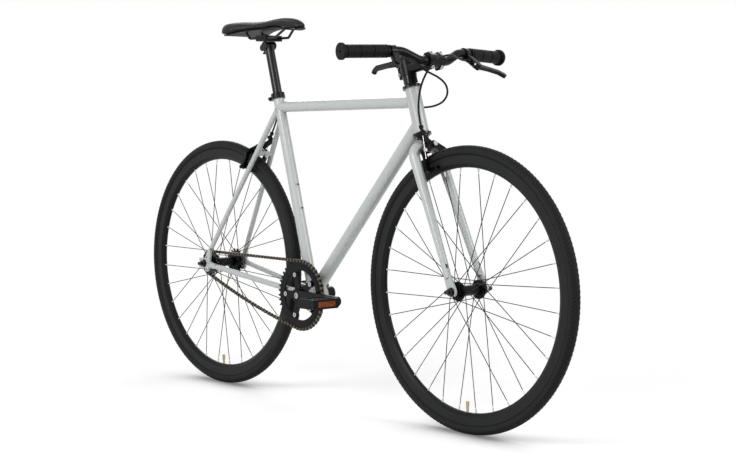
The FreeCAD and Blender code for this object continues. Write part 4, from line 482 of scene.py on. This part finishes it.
def cableTube(name, points):  # the housing's mesh and the line that it follows
    data = routeLine(name + "Line", points)
    line = bpy.data.objects.new(name + "Line", data)
    bpy.context.scene.collection.objects.link(line)
    path = [vert.co.copy() for vert in solved(line).vertices]
    data.bevel_depth = cableSet["radius"]
    data.bevel_resolution = cableSet["sides"]
    data.use_fill_caps = True
    shape = bmesh.new()
    shape.from_mesh(solved(line))
    bpy.data.objects.remove(line)
    bmesh.ops.remove_doubles(shape, verts=shape.verts, dist=weldGap)
    bmesh.ops.recalc_face_normals(shape, faces=shape.faces)
    return shape, path


def makeCable(name, route, bodies, bend, node):
    shape, path = cableTube(name, cableSet[route])
    cable = keep(name, shape, None, housing)
    start, end = (tuple(value / 1000 for value in cableSet[route][place]) for place in bend)
    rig.blend(cable, *bodies, start=start, end=end)
    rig.replaces(cable, node)
    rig.slot(cable, "cable_plastic")
    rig.cord(cable, exit=path[0], length=cableSet[route + "Length"], diameter=2 * cableSet["radius"],
            far_end="object", stiffness="stiff", lay="loose", path=path)


def makeCables():  # a housing's lower end goes with the brake arm that holds it
    makeCable("frontCableHousing", "front", ("steering", "front_brake_arm_right"), (-5, -2),
              "front_brake_cable")
    makeCable("rearCableHousing", "rear", ("frame", "rear_brake_arm_left"), (-5, -2), "rear_brake_cable")
    makeCable("rearCableLoopHousing", "loop", ("steering", "frame"), (5, -2), "rear_cable_loop")


makeHousing()
makeCables()
print("cables run")


# frame and fork: pale cool grey enamel under clear coat, with painted shade near-black in the bottle-boss holes
# thread: the near-black painted shade inside the bottle-boss holes
enamelSet = {"colour": (181, 185, 184), "shade": (166, 170, 169), "cloudScale": 7.0, "cloudShare": 0.12,
             "cloudSpan": (0.35, 0.7), "rough": 0.31, "roughSpread": 0.02, "thread": (20, 20, 21),
             "threadRadius": 0.0028, "threadDepth": 0.011, "bossAxis": (0.960294, 0.0, 0.278991),
             "bosses": [(-0.133875, 0.0, 0.50555), (-0.15173, 0.0, 0.567009)]}
enamel = Finish("paleGreyEnamel", Coat_Weight=0.4, Coat_Roughness=0.2, Coat_IOR=1.5)


def nearLine(finish, point, axis, radius, reach):  # 1 close to a line, within reach of a point on it
    offset = finish.node("ShaderNodeVectorMath", {"operation": "SUBTRACT"}, {0: finish.place, 1: point})
    depth = finish.node("ShaderNodeVectorMath", {"operation": "DOT_PRODUCT"}, {0: offset, 1: axis}, "Value")
    aside = finish.node("ShaderNodeVectorMath", {"operation": "CROSS_PRODUCT"}, {0: offset, 1: axis})
    out = finish.node("ShaderNodeVectorMath", {"operation": "LENGTH"}, {0: aside}, "Value")
    return (out < radius) * (abs(depth) < reach)


def paintedHoleShade(face):  # 1 inside a bottle boss's threaded hole, where the enamel is painted near-black as the hole's shade
    return nearLine(enamel, face, enamelSet["bossAxis"], enamelSet["threadRadius"], enamelSet["threadDepth"])


def makeEnamel():
    cloud = enamel.span(enamel.noise(enamelSet["cloudScale"], 3.0), *enamelSet["cloudSpan"])
    tone = enamel.blend(cloud * enamelSet["cloudShare"], linear(*enamelSet["colour"]),
                        linear(*enamelSet["shade"]))
    lower, upper = (paintedHoleShade(face) for face in enamelSet["bosses"])
    # painted shade: the bottle-boss holes near-black
    enamel.feed("Base Color", enamel.blend(lower.most(upper), tone, linear(*enamelSet["thread"])))
    enamel.feed("Roughness", cloud * enamelSet["roughSpread"] + enamelSet["rough"])
    dress(enamel, "dropouts", "chainstays", "seatstays", "head_tube", "bottom_bracket_shell", "down_tube",
          "seat_tube", "top_tube", "fork_blades")


# black parts: satin alloy, gloss and deep lacquer, darkened steel, plastic
wearSet = {"cloudsPerGrain": 1 / 8, "cloudSpan": (0.35, 0.75), "cloudShare": 0.6, "grainShare": 0.2,
           "bump": 0.4}
blackSet = {
    "satinBlackAlloy": {
        "colour": (11, 11, 12), "worn": (21, 21, 22), "rough": 0.22, "spread": 0.1, "grain": 700.0,
        "depth": 0.00001, "shader": {"Metallic": 0.1, "Specular_IOR_Level": 0.15, "Coat_Weight": 0.06,
                                     "Coat_Roughness": 0.06},
        "nodes": ["stem", "stem_faceplate", "seat_collar", "lever_brackets", "right_brake_lever",
                  "left_brake_lever", "saddle_clamp", "bottom_bracket_cups"]},
    "glossBlackLacquer": {
        "colour": (9, 9, 10), "worn": (17, 17, 18), "rough": 0.16, "spread": 0.08, "grain": 500.0,
        "depth": 0.00001, "shader": {"Specular_IOR_Level": 0.15, "Coat_Weight": 0.3, "Coat_Roughness": 0.06},
        "nodes": ["seatpost", "fork_steerer", "headset_cups", "headset_spacers"]},
    "deepBlackLacquer": {
        "colour": (9, 9, 10), "worn": (17, 17, 18), "rough": 0.2, "spread": 0.1, "grain": 500.0,
        "depth": 0.00001, "shader": {"Specular_IOR_Level": 0.1, "Coat_Weight": 0.05, "Coat_Roughness": 0.06},
        "nodes": ["handlebar", "front_hub", "rear_hub", "front_brake_arm_right", "rear_brake_arm_left",
                  "chainring", "right_crank", "left_crank"]},
    "darkenedSteel": {
        "colour": (48, 48, 50), "worn": (78, 76, 74), "rough": 0.26, "spread": 0.14, "grain": 900.0,
        "depth": 0.00002, "shader": {"Metallic": 0.9},
        "nodes": ["front_axle", "rear_axle", "fixed_cog", "freewheel", "bottom_bracket_spindle",
                  "saddle_rails"]},
    "mouldedPlastic": {
        "colour": (15, 15, 16), "worn": (26, 26, 27), "rough": 0.45, "spread": 0.12, "grain": 1400.0,
        "depth": 0.00005, "shader": {"Specular_IOR_Level": 0.15},
        "nodes": ["right_pedal", "left_pedal", "saddle_base"]}}


def makeBlack(name):
    black = blackSet[name]
    made = Finish(name, **black["shader"])
    cloud = made.span(made.noise(black["grain"] * wearSet["cloudsPerGrain"], 3.0), *wearSet["cloudSpan"])
    fine = made.noise(black["grain"], 2.0, 0.6)
    wear = cloud * wearSet["cloudShare"] + fine * wearSet["grainShare"]
    made.feed("Base Color", made.blend(wear, linear(*black["colour"]), linear(*black["worn"])))
    made.feed("Roughness", cloud * black["spread"] + fine * (black["spread"] / 2) + black["rough"])
    made.bump(fine, black["depth"], wearSet["bump"])
    dress(made, *black["nodes"])


# the caliper arms that hold the wires: lacquer, with bare wire and anchor bolt
anchorSet = {"lacquer": (9, 9, 10), "worn": (17, 17, 18), "steel": (202, 200, 196), "cloudScale": 62.5,
             "cloudSpan": (0.35, 0.75), "rough": 0.2, "roughSpread": 0.1, "wireRadius": 0.001,
             "wireReach": 0.08, "boltRadius": 0.0047, "boltReach": 0.0047,
             "front": {"node": "front_brake_arm_left",
                       "wire": ((0.37808, -0.03804, 0.64423), (-0.308, 0.093, 0.947)),
                       "bolt": ((0.37222, -0.036, 0.66535), (0.951, 0.0, 0.309))},
             "rear": {"node": "rear_brake_arm_right",
                      "wire": ((-0.34612, 0.03804, 0.63085), (0.519, -0.093, 0.85)),
                      "bolt": ((-0.3355, 0.036, 0.65004), (-0.853, 0.0, 0.522))}}


def makeAnchorArm(end):
    arm = anchorSet[end]
    made = Finish(end + "AnchorArmLacquer", Specular_IOR_Level=0.1, Coat_Weight=0.05, Coat_Roughness=0.06)
    wire = nearLine(made, *arm["wire"], anchorSet["wireRadius"], anchorSet["wireReach"])
    bare = wire.most(nearLine(made, *arm["bolt"], anchorSet["boltRadius"], anchorSet["boltReach"]))
    cloud = made.span(made.noise(anchorSet["cloudScale"], 3.0), *anchorSet["cloudSpan"])
    lacquer = made.blend(cloud, linear(*anchorSet["lacquer"]), linear(*anchorSet["worn"]))
    made.feed("Base Color", made.blend(bare, lacquer, linear(*anchorSet["steel"])))
    made.feed("Metallic", bare)
    made.feed("Roughness", cloud * anchorSet["roughSpread"] + anchorSet["rough"])
    dress(made, arm["node"])


makeEnamel()
for blackName in blackSet:
    makeBlack(blackName)
for armEnd in ("front", "rear"):
    makeAnchorArm(armEnd)
print("paint and black parts dressed")


# bright fasteners and spokes
brightSet = {"steel": (196, 197, 198), "brush": (160, 161, 163), "streakScale": 1600.0, "rough": 0.16,
             "roughSpread": 0.15}
spokeSet = {"spoke": (20, 20, 22), "nipple": (205, 206, 207), "spokeEnd": 0.274, "grain": 1200.0,
            "rough": 0.22, "roughSpread": 0.15}


def makeBright():
    bright = Finish("brightSteel", Metallic=1.0)
    streak = bright.noise(brightSet["streakScale"], 2.0)
    bright.feed("Base Color", bright.blend(streak, linear(*brightSet["steel"]), linear(*brightSet["brush"])))
    bright.feed("Roughness", streak * brightSet["roughSpread"] + brightSet["rough"])
    dress(bright, "stem_bolts", "crankset_bolts", "front_brake_bolt", "rear_brake_bolt")


def makeSpokes(wheel):
    made = Finish(wheel + "SpokeSteel", Metallic=0.3, Specular_IOR_Level=0.2)
    out = made.radius(middle(wheel + "_axle"))
    nipple = out > spokeSet["spokeEnd"]
    fine = made.noise(spokeSet["grain"], 2.0)
    made.feed("Base Color", made.blend(nipple, linear(*spokeSet["spoke"]), linear(*spokeSet["nipple"])))
    made.feed("Roughness", fine * spokeSet["roughSpread"] + spokeSet["rough"])
    dress(made, wheel + "_spokes")


makeBright()
for wheelName in ("front", "rear"):
    makeSpokes(wheelName)
print("metal dressed")


# chain: the solid's own links, their plates drawn in between the pins, with painted bead light: lighter towards the
# pins and painted shade at each waist
# oil colour: the waists' painted shade and the random oil; plate colour: the plates with painted light towards the
# pins
chainSet = {"plate": (108, 99, 86), "oil": (27, 25, 22), "halfPitch": 0.00635, "waist": 0.36,
            "waistReach": 0.2, "beadLightSpan": (0.3, 0.85), "oilScale": 260.0, "oilSpan": (0.42, 0.66),
            "oilShare": 0.45, "rough": 0.46, "polish": 0.16}


def linksOf(shape):  # the vertices of each link
    seen = set()
    for first in shape.verts:
        if first in seen:
            continue
        seen.add(first)
        link = [first]
        for vert in link:
            for edge in vert.link_edges:
                other = edge.other_vert(vert)
                if other not in seen:
                    seen.add(other)
                    link.append(other)
        yield link


def linkLine(link):  # a link's middle and the way it points
    centre = sum((vert.co for vert in link), Vector()) / len(link)
    arms = [(vert.co - centre) * Vector((1, 0, 1)) for vert in link]
    tip = max(arms, key=lambda arm: arm.length)
    return centre, sum((arm if arm.dot(tip) > 0 else -arm for arm in arms), Vector()).normalized()


def makeChain():
    shape = bmesh.new()
    shape.from_mesh(nodes["chain"].data)
    bmesh.ops.remove_doubles(shape, verts=shape.verts, dist=weldGap)
    toPin = shape.verts.layers.float.new("toPin")
    crossing = set()
    for link in linksOf(shape):
        centre, along = linkLine(link)
        ahead = {vert for vert in link if (vert.co - centre).dot(along) > 0}
        crossing |= {edge for vert in ahead for edge in vert.link_edges if edge.other_vert(vert) not in ahead}
    bmesh.ops.subdivide_edges(shape, edges=list(crossing), cuts=1)
    for link in linksOf(shape):
        centre, along = linkLine(link)
        rise = along.cross(Vector((0, 1, 0)))
        for vert in link:
            arm = vert.co - centre
            vert[toPin] = abs(arm.dot(along)) / chainSet["halfPitch"]
            if vert[toPin] < chainSet["waistReach"]:
                vert.co -= rise * arm.dot(rise) * chainSet["waist"]
    bronze = Finish("bronzedChain", Metallic=0.8)
    near = bronze.node("ShaderNodeAttribute", {"attribute_name": "toPin"}, None, "Fac")
    oil = bronze.span(bronze.noise(chainSet["oilScale"], 3.0, 0.6), *chainSet["oilSpan"])
    # painted bead light: lighter towards the pins and painted shade at each link's waist, darker still where random
    # oil lies
    bare = bronze.span(near, *chainSet["beadLightSpan"]) * (1 - oil * chainSet["oilShare"])
    bronze.feed("Base Color", bronze.blend(bare, linear(*chainSet["oil"]), linear(*chainSet["plate"])))
    bronze.feed("Roughness", chainSet["rough"] - bare * chainSet["polish"])
    chain = keep("chainLinks", shape, "frame", bronze, False)
    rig.replaces(chain, "chain")
    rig.slot(chain, "chain_steel")


makeChain()
print("chain linked")


# tyres: lugged shoulders, grooved tread with painted shade in the grooves, and ribbed sidewall
tyreSet = {"tread": (24, 24, 23), "wall": (31, 31, 31), "dust": (44, 43, 41), "cut": (9, 9, 9),
           "treadSpan": (0.3285, 0.3315), "treadCount": 236, "treadLean": 620.0, "cutSpan": (0.45, 0.85),
           "crownSpan": (0.0016, 0.003), "cutShare": 0.75, "grooveDepth": 0.0008, "ribPitch": 0.0017,
           "ribDepth": 0.0002, "dustScale": 60.0, "dustSpan": (0.45, 0.8), "dustShare": 0.45, "rough": 0.62,
           "dustRough": 0.2, "grain": 1500.0, "grainShare": 0.08, "bump": 0.9}


def makeTyre(wheel):
    made = Finish(wheel + "TyreRubber", Specular_IOR_Level=0.15)
    centre = middle(wheel + "_axle")
    out = made.radius(centre)
    side = abs(made.y)
    tread = made.span(out, *tyreSet["treadSpan"])
    wave = (made.angle(centre) * tyreSet["treadCount"] + side * tyreSet["treadLean"]).sine()
    groove = made.span(wave, *tyreSet["cutSpan"]) * tread * made.span(side, *tyreSet["crownSpan"])
    rib = (out * (2 * math.pi / tyreSet["ribPitch"])).sine() * (1 - tread)
    dust = made.span(made.noise(tyreSet["dustScale"], 4.0, 0.65), *tyreSet["dustSpan"])
    tone = made.blend(tread, linear(*tyreSet["wall"]), linear(*tyreSet["tread"]))
    tone = made.blend(dust * tyreSet["dustShare"], tone, linear(*tyreSet["dust"]))
    # painted shade: the tread's grooves darker
    made.feed("Base Color", made.blend(groove * tyreSet["cutShare"], tone, linear(*tyreSet["cut"])))
    made.feed("Roughness", tyreSet["rough"] + dust * tyreSet["dustRough"])
    grain = made.noise(tyreSet["grain"], 2.0) * tyreSet["grainShare"]
    relief = rib * (tyreSet["ribDepth"] / tyreSet["grooveDepth"]) + grain - groove
    made.bump(relief, tyreSet["grooveDepth"], tyreSet["bump"])
    dress(made, wheel + "_tyre")
    return made


# rims: black alloy with a turned brake track
rimSet = {"rim": (20, 21, 22), "track": (40, 41, 42), "shade": (14, 14, 15), "trackSpan": (0.0091, 0.0094),
          "trackShare": 0.7, "turnPitch": 0.0009, "turnDepth": 0.00003, "bump": 0.6, "cloudScale": 26.0,
          "cloudShare": 0.3, "rough": 0.3, "trackRough": 0.12, "cloudRough": 0.08}


def makeRim(wheel):
    made = Finish(wheel + "RimAlloy", Metallic=0.2, Specular_IOR_Level=0.15)
    out = made.radius(middle(wheel + "_axle"))
    track = made.span(abs(made.y), *rimSet["trackSpan"])
    rings = (out * (2 * math.pi / rimSet["turnPitch"])).sine()
    cloud = made.noise(rimSet["cloudScale"], 3.0)
    tone = made.blend(track * rimSet["trackShare"], linear(*rimSet["rim"]), linear(*rimSet["track"]))
    made.feed("Base Color", made.blend(cloud * rimSet["cloudShare"], tone, linear(*rimSet["shade"])))
    made.feed("Roughness", rimSet["rough"] + track * rimSet["trackRough"] + cloud * rimSet["cloudRough"])
    made.bump(rings * track, rimSet["turnDepth"], rimSet["bump"])
    dress(made, wheel + "_rim")


# inner tubes, with their brassy valves
tubeSet = {"rubber": (34, 34, 34), "valve": (178, 164, 138), "valveWithin": 0.296, "threadTurn": 9000.0,
           "threadDepth": 0.0002, "bump": 0.7}


def makeInnerTube(wheel):
    made = Finish(wheel + "TubeAndValve", Roughness=0.35)
    out = made.radius(middle(wheel + "_axle"))
    valve = out < tubeSet["valveWithin"]
    thread = (out * tubeSet["threadTurn"]).sine() * valve
    made.feed("Base Color", made.blend(valve, linear(*tubeSet["rubber"]), linear(*tubeSet["valve"])))
    made.feed("Metallic", valve)
    made.bump(thread, tubeSet["threadDepth"], tubeSet["bump"])
    dress(made, wheel + "_inner_tube")


# tread lugs, in the mesh
lugSet = {"count": 176, "side": 0.0078, "length": 0.0062, "width": 0.0042, "height": 0.0011, "lean": 34.0,
          "tyreHalf": 0.014, "proud": 0.00035, "edgeShare": 0.3}


def makeLugs(wheel, finish):  # raised tread on both shoulders, below the crown
    centre = middle(wheel + "_axle")
    low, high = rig.box(wheel + "_tyre")
    half = lugSet["tyreHalf"]
    ring = (high.z - low.z) / 2 - half  # radius of the tyre's round section centre
    shape = bmesh.new()
    for side in (1, -1):
        tilt = math.asin(lugSet["side"] / half) * side
        made = bmesh.ops.create_cube(shape, size=1.0)["verts"]
        bmesh.ops.scale(shape, verts=made, vec=(lugSet["width"], lugSet["length"], lugSet["height"]))
        edges = list({edge for vert in made for edge in vert.link_edges})
        rounded = bmesh.ops.bevel(shape, geom=edges, offset=lugSet["height"] * lugSet["edgeShare"], segments=1,
                                  profile=0.5, affect="EDGES", material=-1)
        corners = {vert for face in rounded["faces"] for vert in face.verts}
        made = list(corners | {vert for vert in made if vert.is_valid})
        lean = Matrix.Rotation(math.radians(lugSet["lean"]) * side, 3, "Z")
        bmesh.ops.rotate(shape, verts=made, matrix=lean)
        lift = half + lugSet["proud"] - lugSet["height"] / 2
        bmesh.ops.translate(shape, verts=made, vec=(0.0, 0.0, lift))
        bmesh.ops.rotate(shape, verts=made, matrix=Matrix.Rotation(-tilt, 3, "X"))
        bmesh.ops.translate(shape, verts=made, vec=(centre.x, 0.0, centre.z + ring))
    bmesh.ops.spin(shape, geom=shape.verts[:] + shape.edges[:] + shape.faces[:], cent=centre, axis=(0, 1, 0),
                   angle=2 * math.pi * (1 - 1 / lugSet["count"]), steps=lugSet["count"] - 1,
                   use_duplicate=True)
    lugs = keep(wheel + "TyreLugs", shape, wheel + "_wheel", finish, False)
    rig.slot(lugs, "tyre_rubber")


for wheelName in ("front", "rear"):
    makeLugs(wheelName, makeTyre(wheelName))
    makeRim(wheelName)
    makeInnerTube(wheelName)
print("wheels dressed")


# pedal reflectors
reflectorSet = {"amber": (176, 78, 8), "deep": (96, 36, 4), "prism": 420.0, "cellSpan": (0.1, 0.8),
                "prismDepth": 0.0006, "bump": 0.7}


def makeReflector():
    made = Finish("amberReflector", Roughness=0.3, Specular_IOR_Level=0.25, Coat_Weight=0.15,
                  Coat_Roughness=0.06)
    cells = made.node("ShaderNodeTexVoronoi", {"feature": "F1"},
                      {"Vector": made.place, "Scale": reflectorSet["prism"]}, "Distance")
    depth = made.span(cells, *reflectorSet["cellSpan"])
    made.feed("Base Color", made.blend(depth, linear(*reflectorSet["amber"]), linear(*reflectorSet["deep"])))
    made.bump(cells, reflectorSet["prismDepth"], reflectorSet["bump"])
    dress(made, "right_pedal_reflectors", "left_pedal_reflectors")


# grips: ribbed rubber
gripSet = {"colour": (15, 15, 16), "rubbed": (26, 26, 27), "rubScale": 70.0, "rubSpan": (0.4, 0.75),
           "grain": 950.0, "grainShare": 0.4, "ribPitch": 0.0026, "ribShare": 0.5, "ribDepth": 0.00035,
           "bump": 0.6, "rough": 0.55, "rubRough": 0.12}


def makeGrip():
    made = Finish("gripRubber", Specular_IOR_Level=0.12)
    rubbed = made.span(made.noise(gripSet["rubScale"], 3.0), *gripSet["rubSpan"])
    fine = made.noise(gripSet["grain"], 2.0)
    rib = (made.y * (2 * math.pi / gripSet["ribPitch"])).sine()
    made.feed("Base Color", made.blend(rubbed, linear(*gripSet["colour"]), linear(*gripSet["rubbed"])))
    made.feed("Roughness", gripSet["rough"] + rubbed * gripSet["rubRough"])
    made.bump(rib * gripSet["ribShare"] + fine * gripSet["grainShare"], gripSet["ribDepth"], gripSet["bump"])
    dress(made, "grips")


makeReflector()
makeGrip()
print("grips and reflectors dressed")


# saddle: foam under a smooth skin, swelled by pressure from a slightly smaller form, then seamed
saddleSet = {"voxel": 0.0045, "shrink": 0.0016, "pressure": 4.0, "frames": 20, "swell": 0.0035, "fill": 0.9,
             "skin": (14, 14, 15), "rubbed": (24, 24, 25), "grain": 1100.0, "grainDepth": 0.00012,
             "bump": 0.5, "rubScale": 28.0, "rubSpan": (0.42, 0.75), "rough": 0.42, "rubRough": 0.1,
             "underFacing": -0.5, "upperFacing": -0.3, "smoothSteps": 3, "smoothShare": 0.5,
             "seamShare": 0.62, "seamHalf": 0.0032, "seamDepth": 0.0016, "seamFacing": 0.1, "slice": 0.012,
             "narrowest": 0.012}


def saddleForm():
    mesh = nodes["saddle_cover"].data.copy()
    shape = bmesh.new()
    shape.from_mesh(mesh)
    bmesh.ops.remove_doubles(shape, verts=shape.verts, dist=weldGap)
    bmesh.ops.recalc_face_normals(shape, faces=shape.faces)
    shape.normal_update()
    for vert in shape.verts:
        vert.co -= vert.normal * saddleSet["shrink"]
    shape.to_mesh(mesh)
    shape.free()
    form = bpy.data.objects.new("saddleForm", mesh)
    bpy.context.scene.collection.objects.link(form)
    remesh = form.modifiers.new("remesh", "REMESH")
    remesh.mode = "VOXEL"
    remesh.voxel_size = saddleSet["voxel"]
    even = solved(form)
    form.modifiers.clear()
    form.data = even
    return form


def swell(form):
    start = [vert.co.copy() for vert in form.data.vertices]
    under = [vert.index for vert in form.data.vertices if vert.normal.z < saddleSet["underFacing"]]
    form.vertex_groups.new(name="under").add(under, 1.0, "REPLACE")
    cloth = form.modifiers.new("pad", "CLOTH")
    cloth.settings.use_pressure = True
    cloth.settings.uniform_pressure_force = saddleSet["pressure"]
    cloth.settings.effector_weights.gravity = 0.0
    cloth.settings.vertex_group_mass = "under"  # the skin is fixed to the base
    cloth.point_cache.frame_end = saddleSet["frames"]
    for step in range(1, saddleSet["frames"] + 1):
        bpy.context.scene.frame_set(step)
    ends = [vert.co.copy() for vert in solved(form).vertices]
    form.modifiers.clear()
    bpy.context.scene.frame_set(1)
    for vert, first, last in zip(form.data.vertices, start, ends):
        move = last - first
        vert.co = first + move.normalized() * min(move.length, saddleSet["swell"])


def seamed(form):
    finer = form.modifiers.new("finer", "SUBSURF")
    finer.levels = finer.render_levels = 1
    shape = bmesh.new()
    shape.from_mesh(solved(form))
    bpy.data.objects.remove(form)
    upper = [vert for vert in shape.verts if vert.normal.z > saddleSet["upperFacing"]]
    for step in range(saddleSet["smoothSteps"]):
        bmesh.ops.smooth_vert(shape, verts=upper, factor=saddleSet["smoothShare"], use_axis_x=True,
                              use_axis_y=True, use_axis_z=True)
    shape.normal_update()
    low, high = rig.box("saddle_cover")
    halves = {}  # half the saddle's width at each slice along it
    for vert in shape.verts:
        place = round(vert.co.x / saddleSet["slice"])
        halves[place] = max(halves.get(place, 0.0), abs(vert.co.y))
    for vert in upper:
        half = halves[round(vert.co.x / saddleSet["slice"])]
        off = abs(abs(vert.co.y) - saddleSet["seamShare"] * half) / saddleSet["seamHalf"]
        if off < 1 and vert.normal.z > saddleSet["seamFacing"] and half > saddleSet["narrowest"]:
            vert.co -= vert.normal * saddleSet["seamDepth"] * (1 - off * off)
    for vert in shape.verts:  # no further out than the solid
        vert.co = Vector(max(least, min(most, value)) for least, most, value in zip(low, high, vert.co))
    return shape


def makeSaddle():
    form = saddleForm()
    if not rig.quick():
        swell(form)
    skin = Finish("saddleSkin", Specular_IOR_Level=0.25, Sheen_Weight=0.02)
    pores = skin.node("ShaderNodeTexVoronoi", {"feature": "SMOOTH_F1"},
                      {"Vector": skin.place, "Scale": saddleSet["grain"]}, "Distance")
    rubbed = skin.span(skin.noise(saddleSet["rubScale"], 3.0), *saddleSet["rubSpan"])
    skin.feed("Base Color", skin.blend(rubbed, linear(*saddleSet["skin"]), linear(*saddleSet["rubbed"])))
    skin.feed("Roughness", saddleSet["rough"] + rubbed * saddleSet["rubRough"])
    skin.bump(pores, saddleSet["grainDepth"], saddleSet["bump"])
    cover = keep("saddleCover", seamed(form), "saddle", skin)
    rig.replaces(cover, "saddle_cover")
    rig.padded(cover, saddleSet["fill"])
    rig.slot(cover, "saddle_skin")


makeSaddle()
print("saddle covered")

with open("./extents.json", "w") as sizes:
    json.dump({"cad": [list(corner) for corner in cadBox], "visual": [list(corner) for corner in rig.bounds()]}, sizes)
print("sizes written")
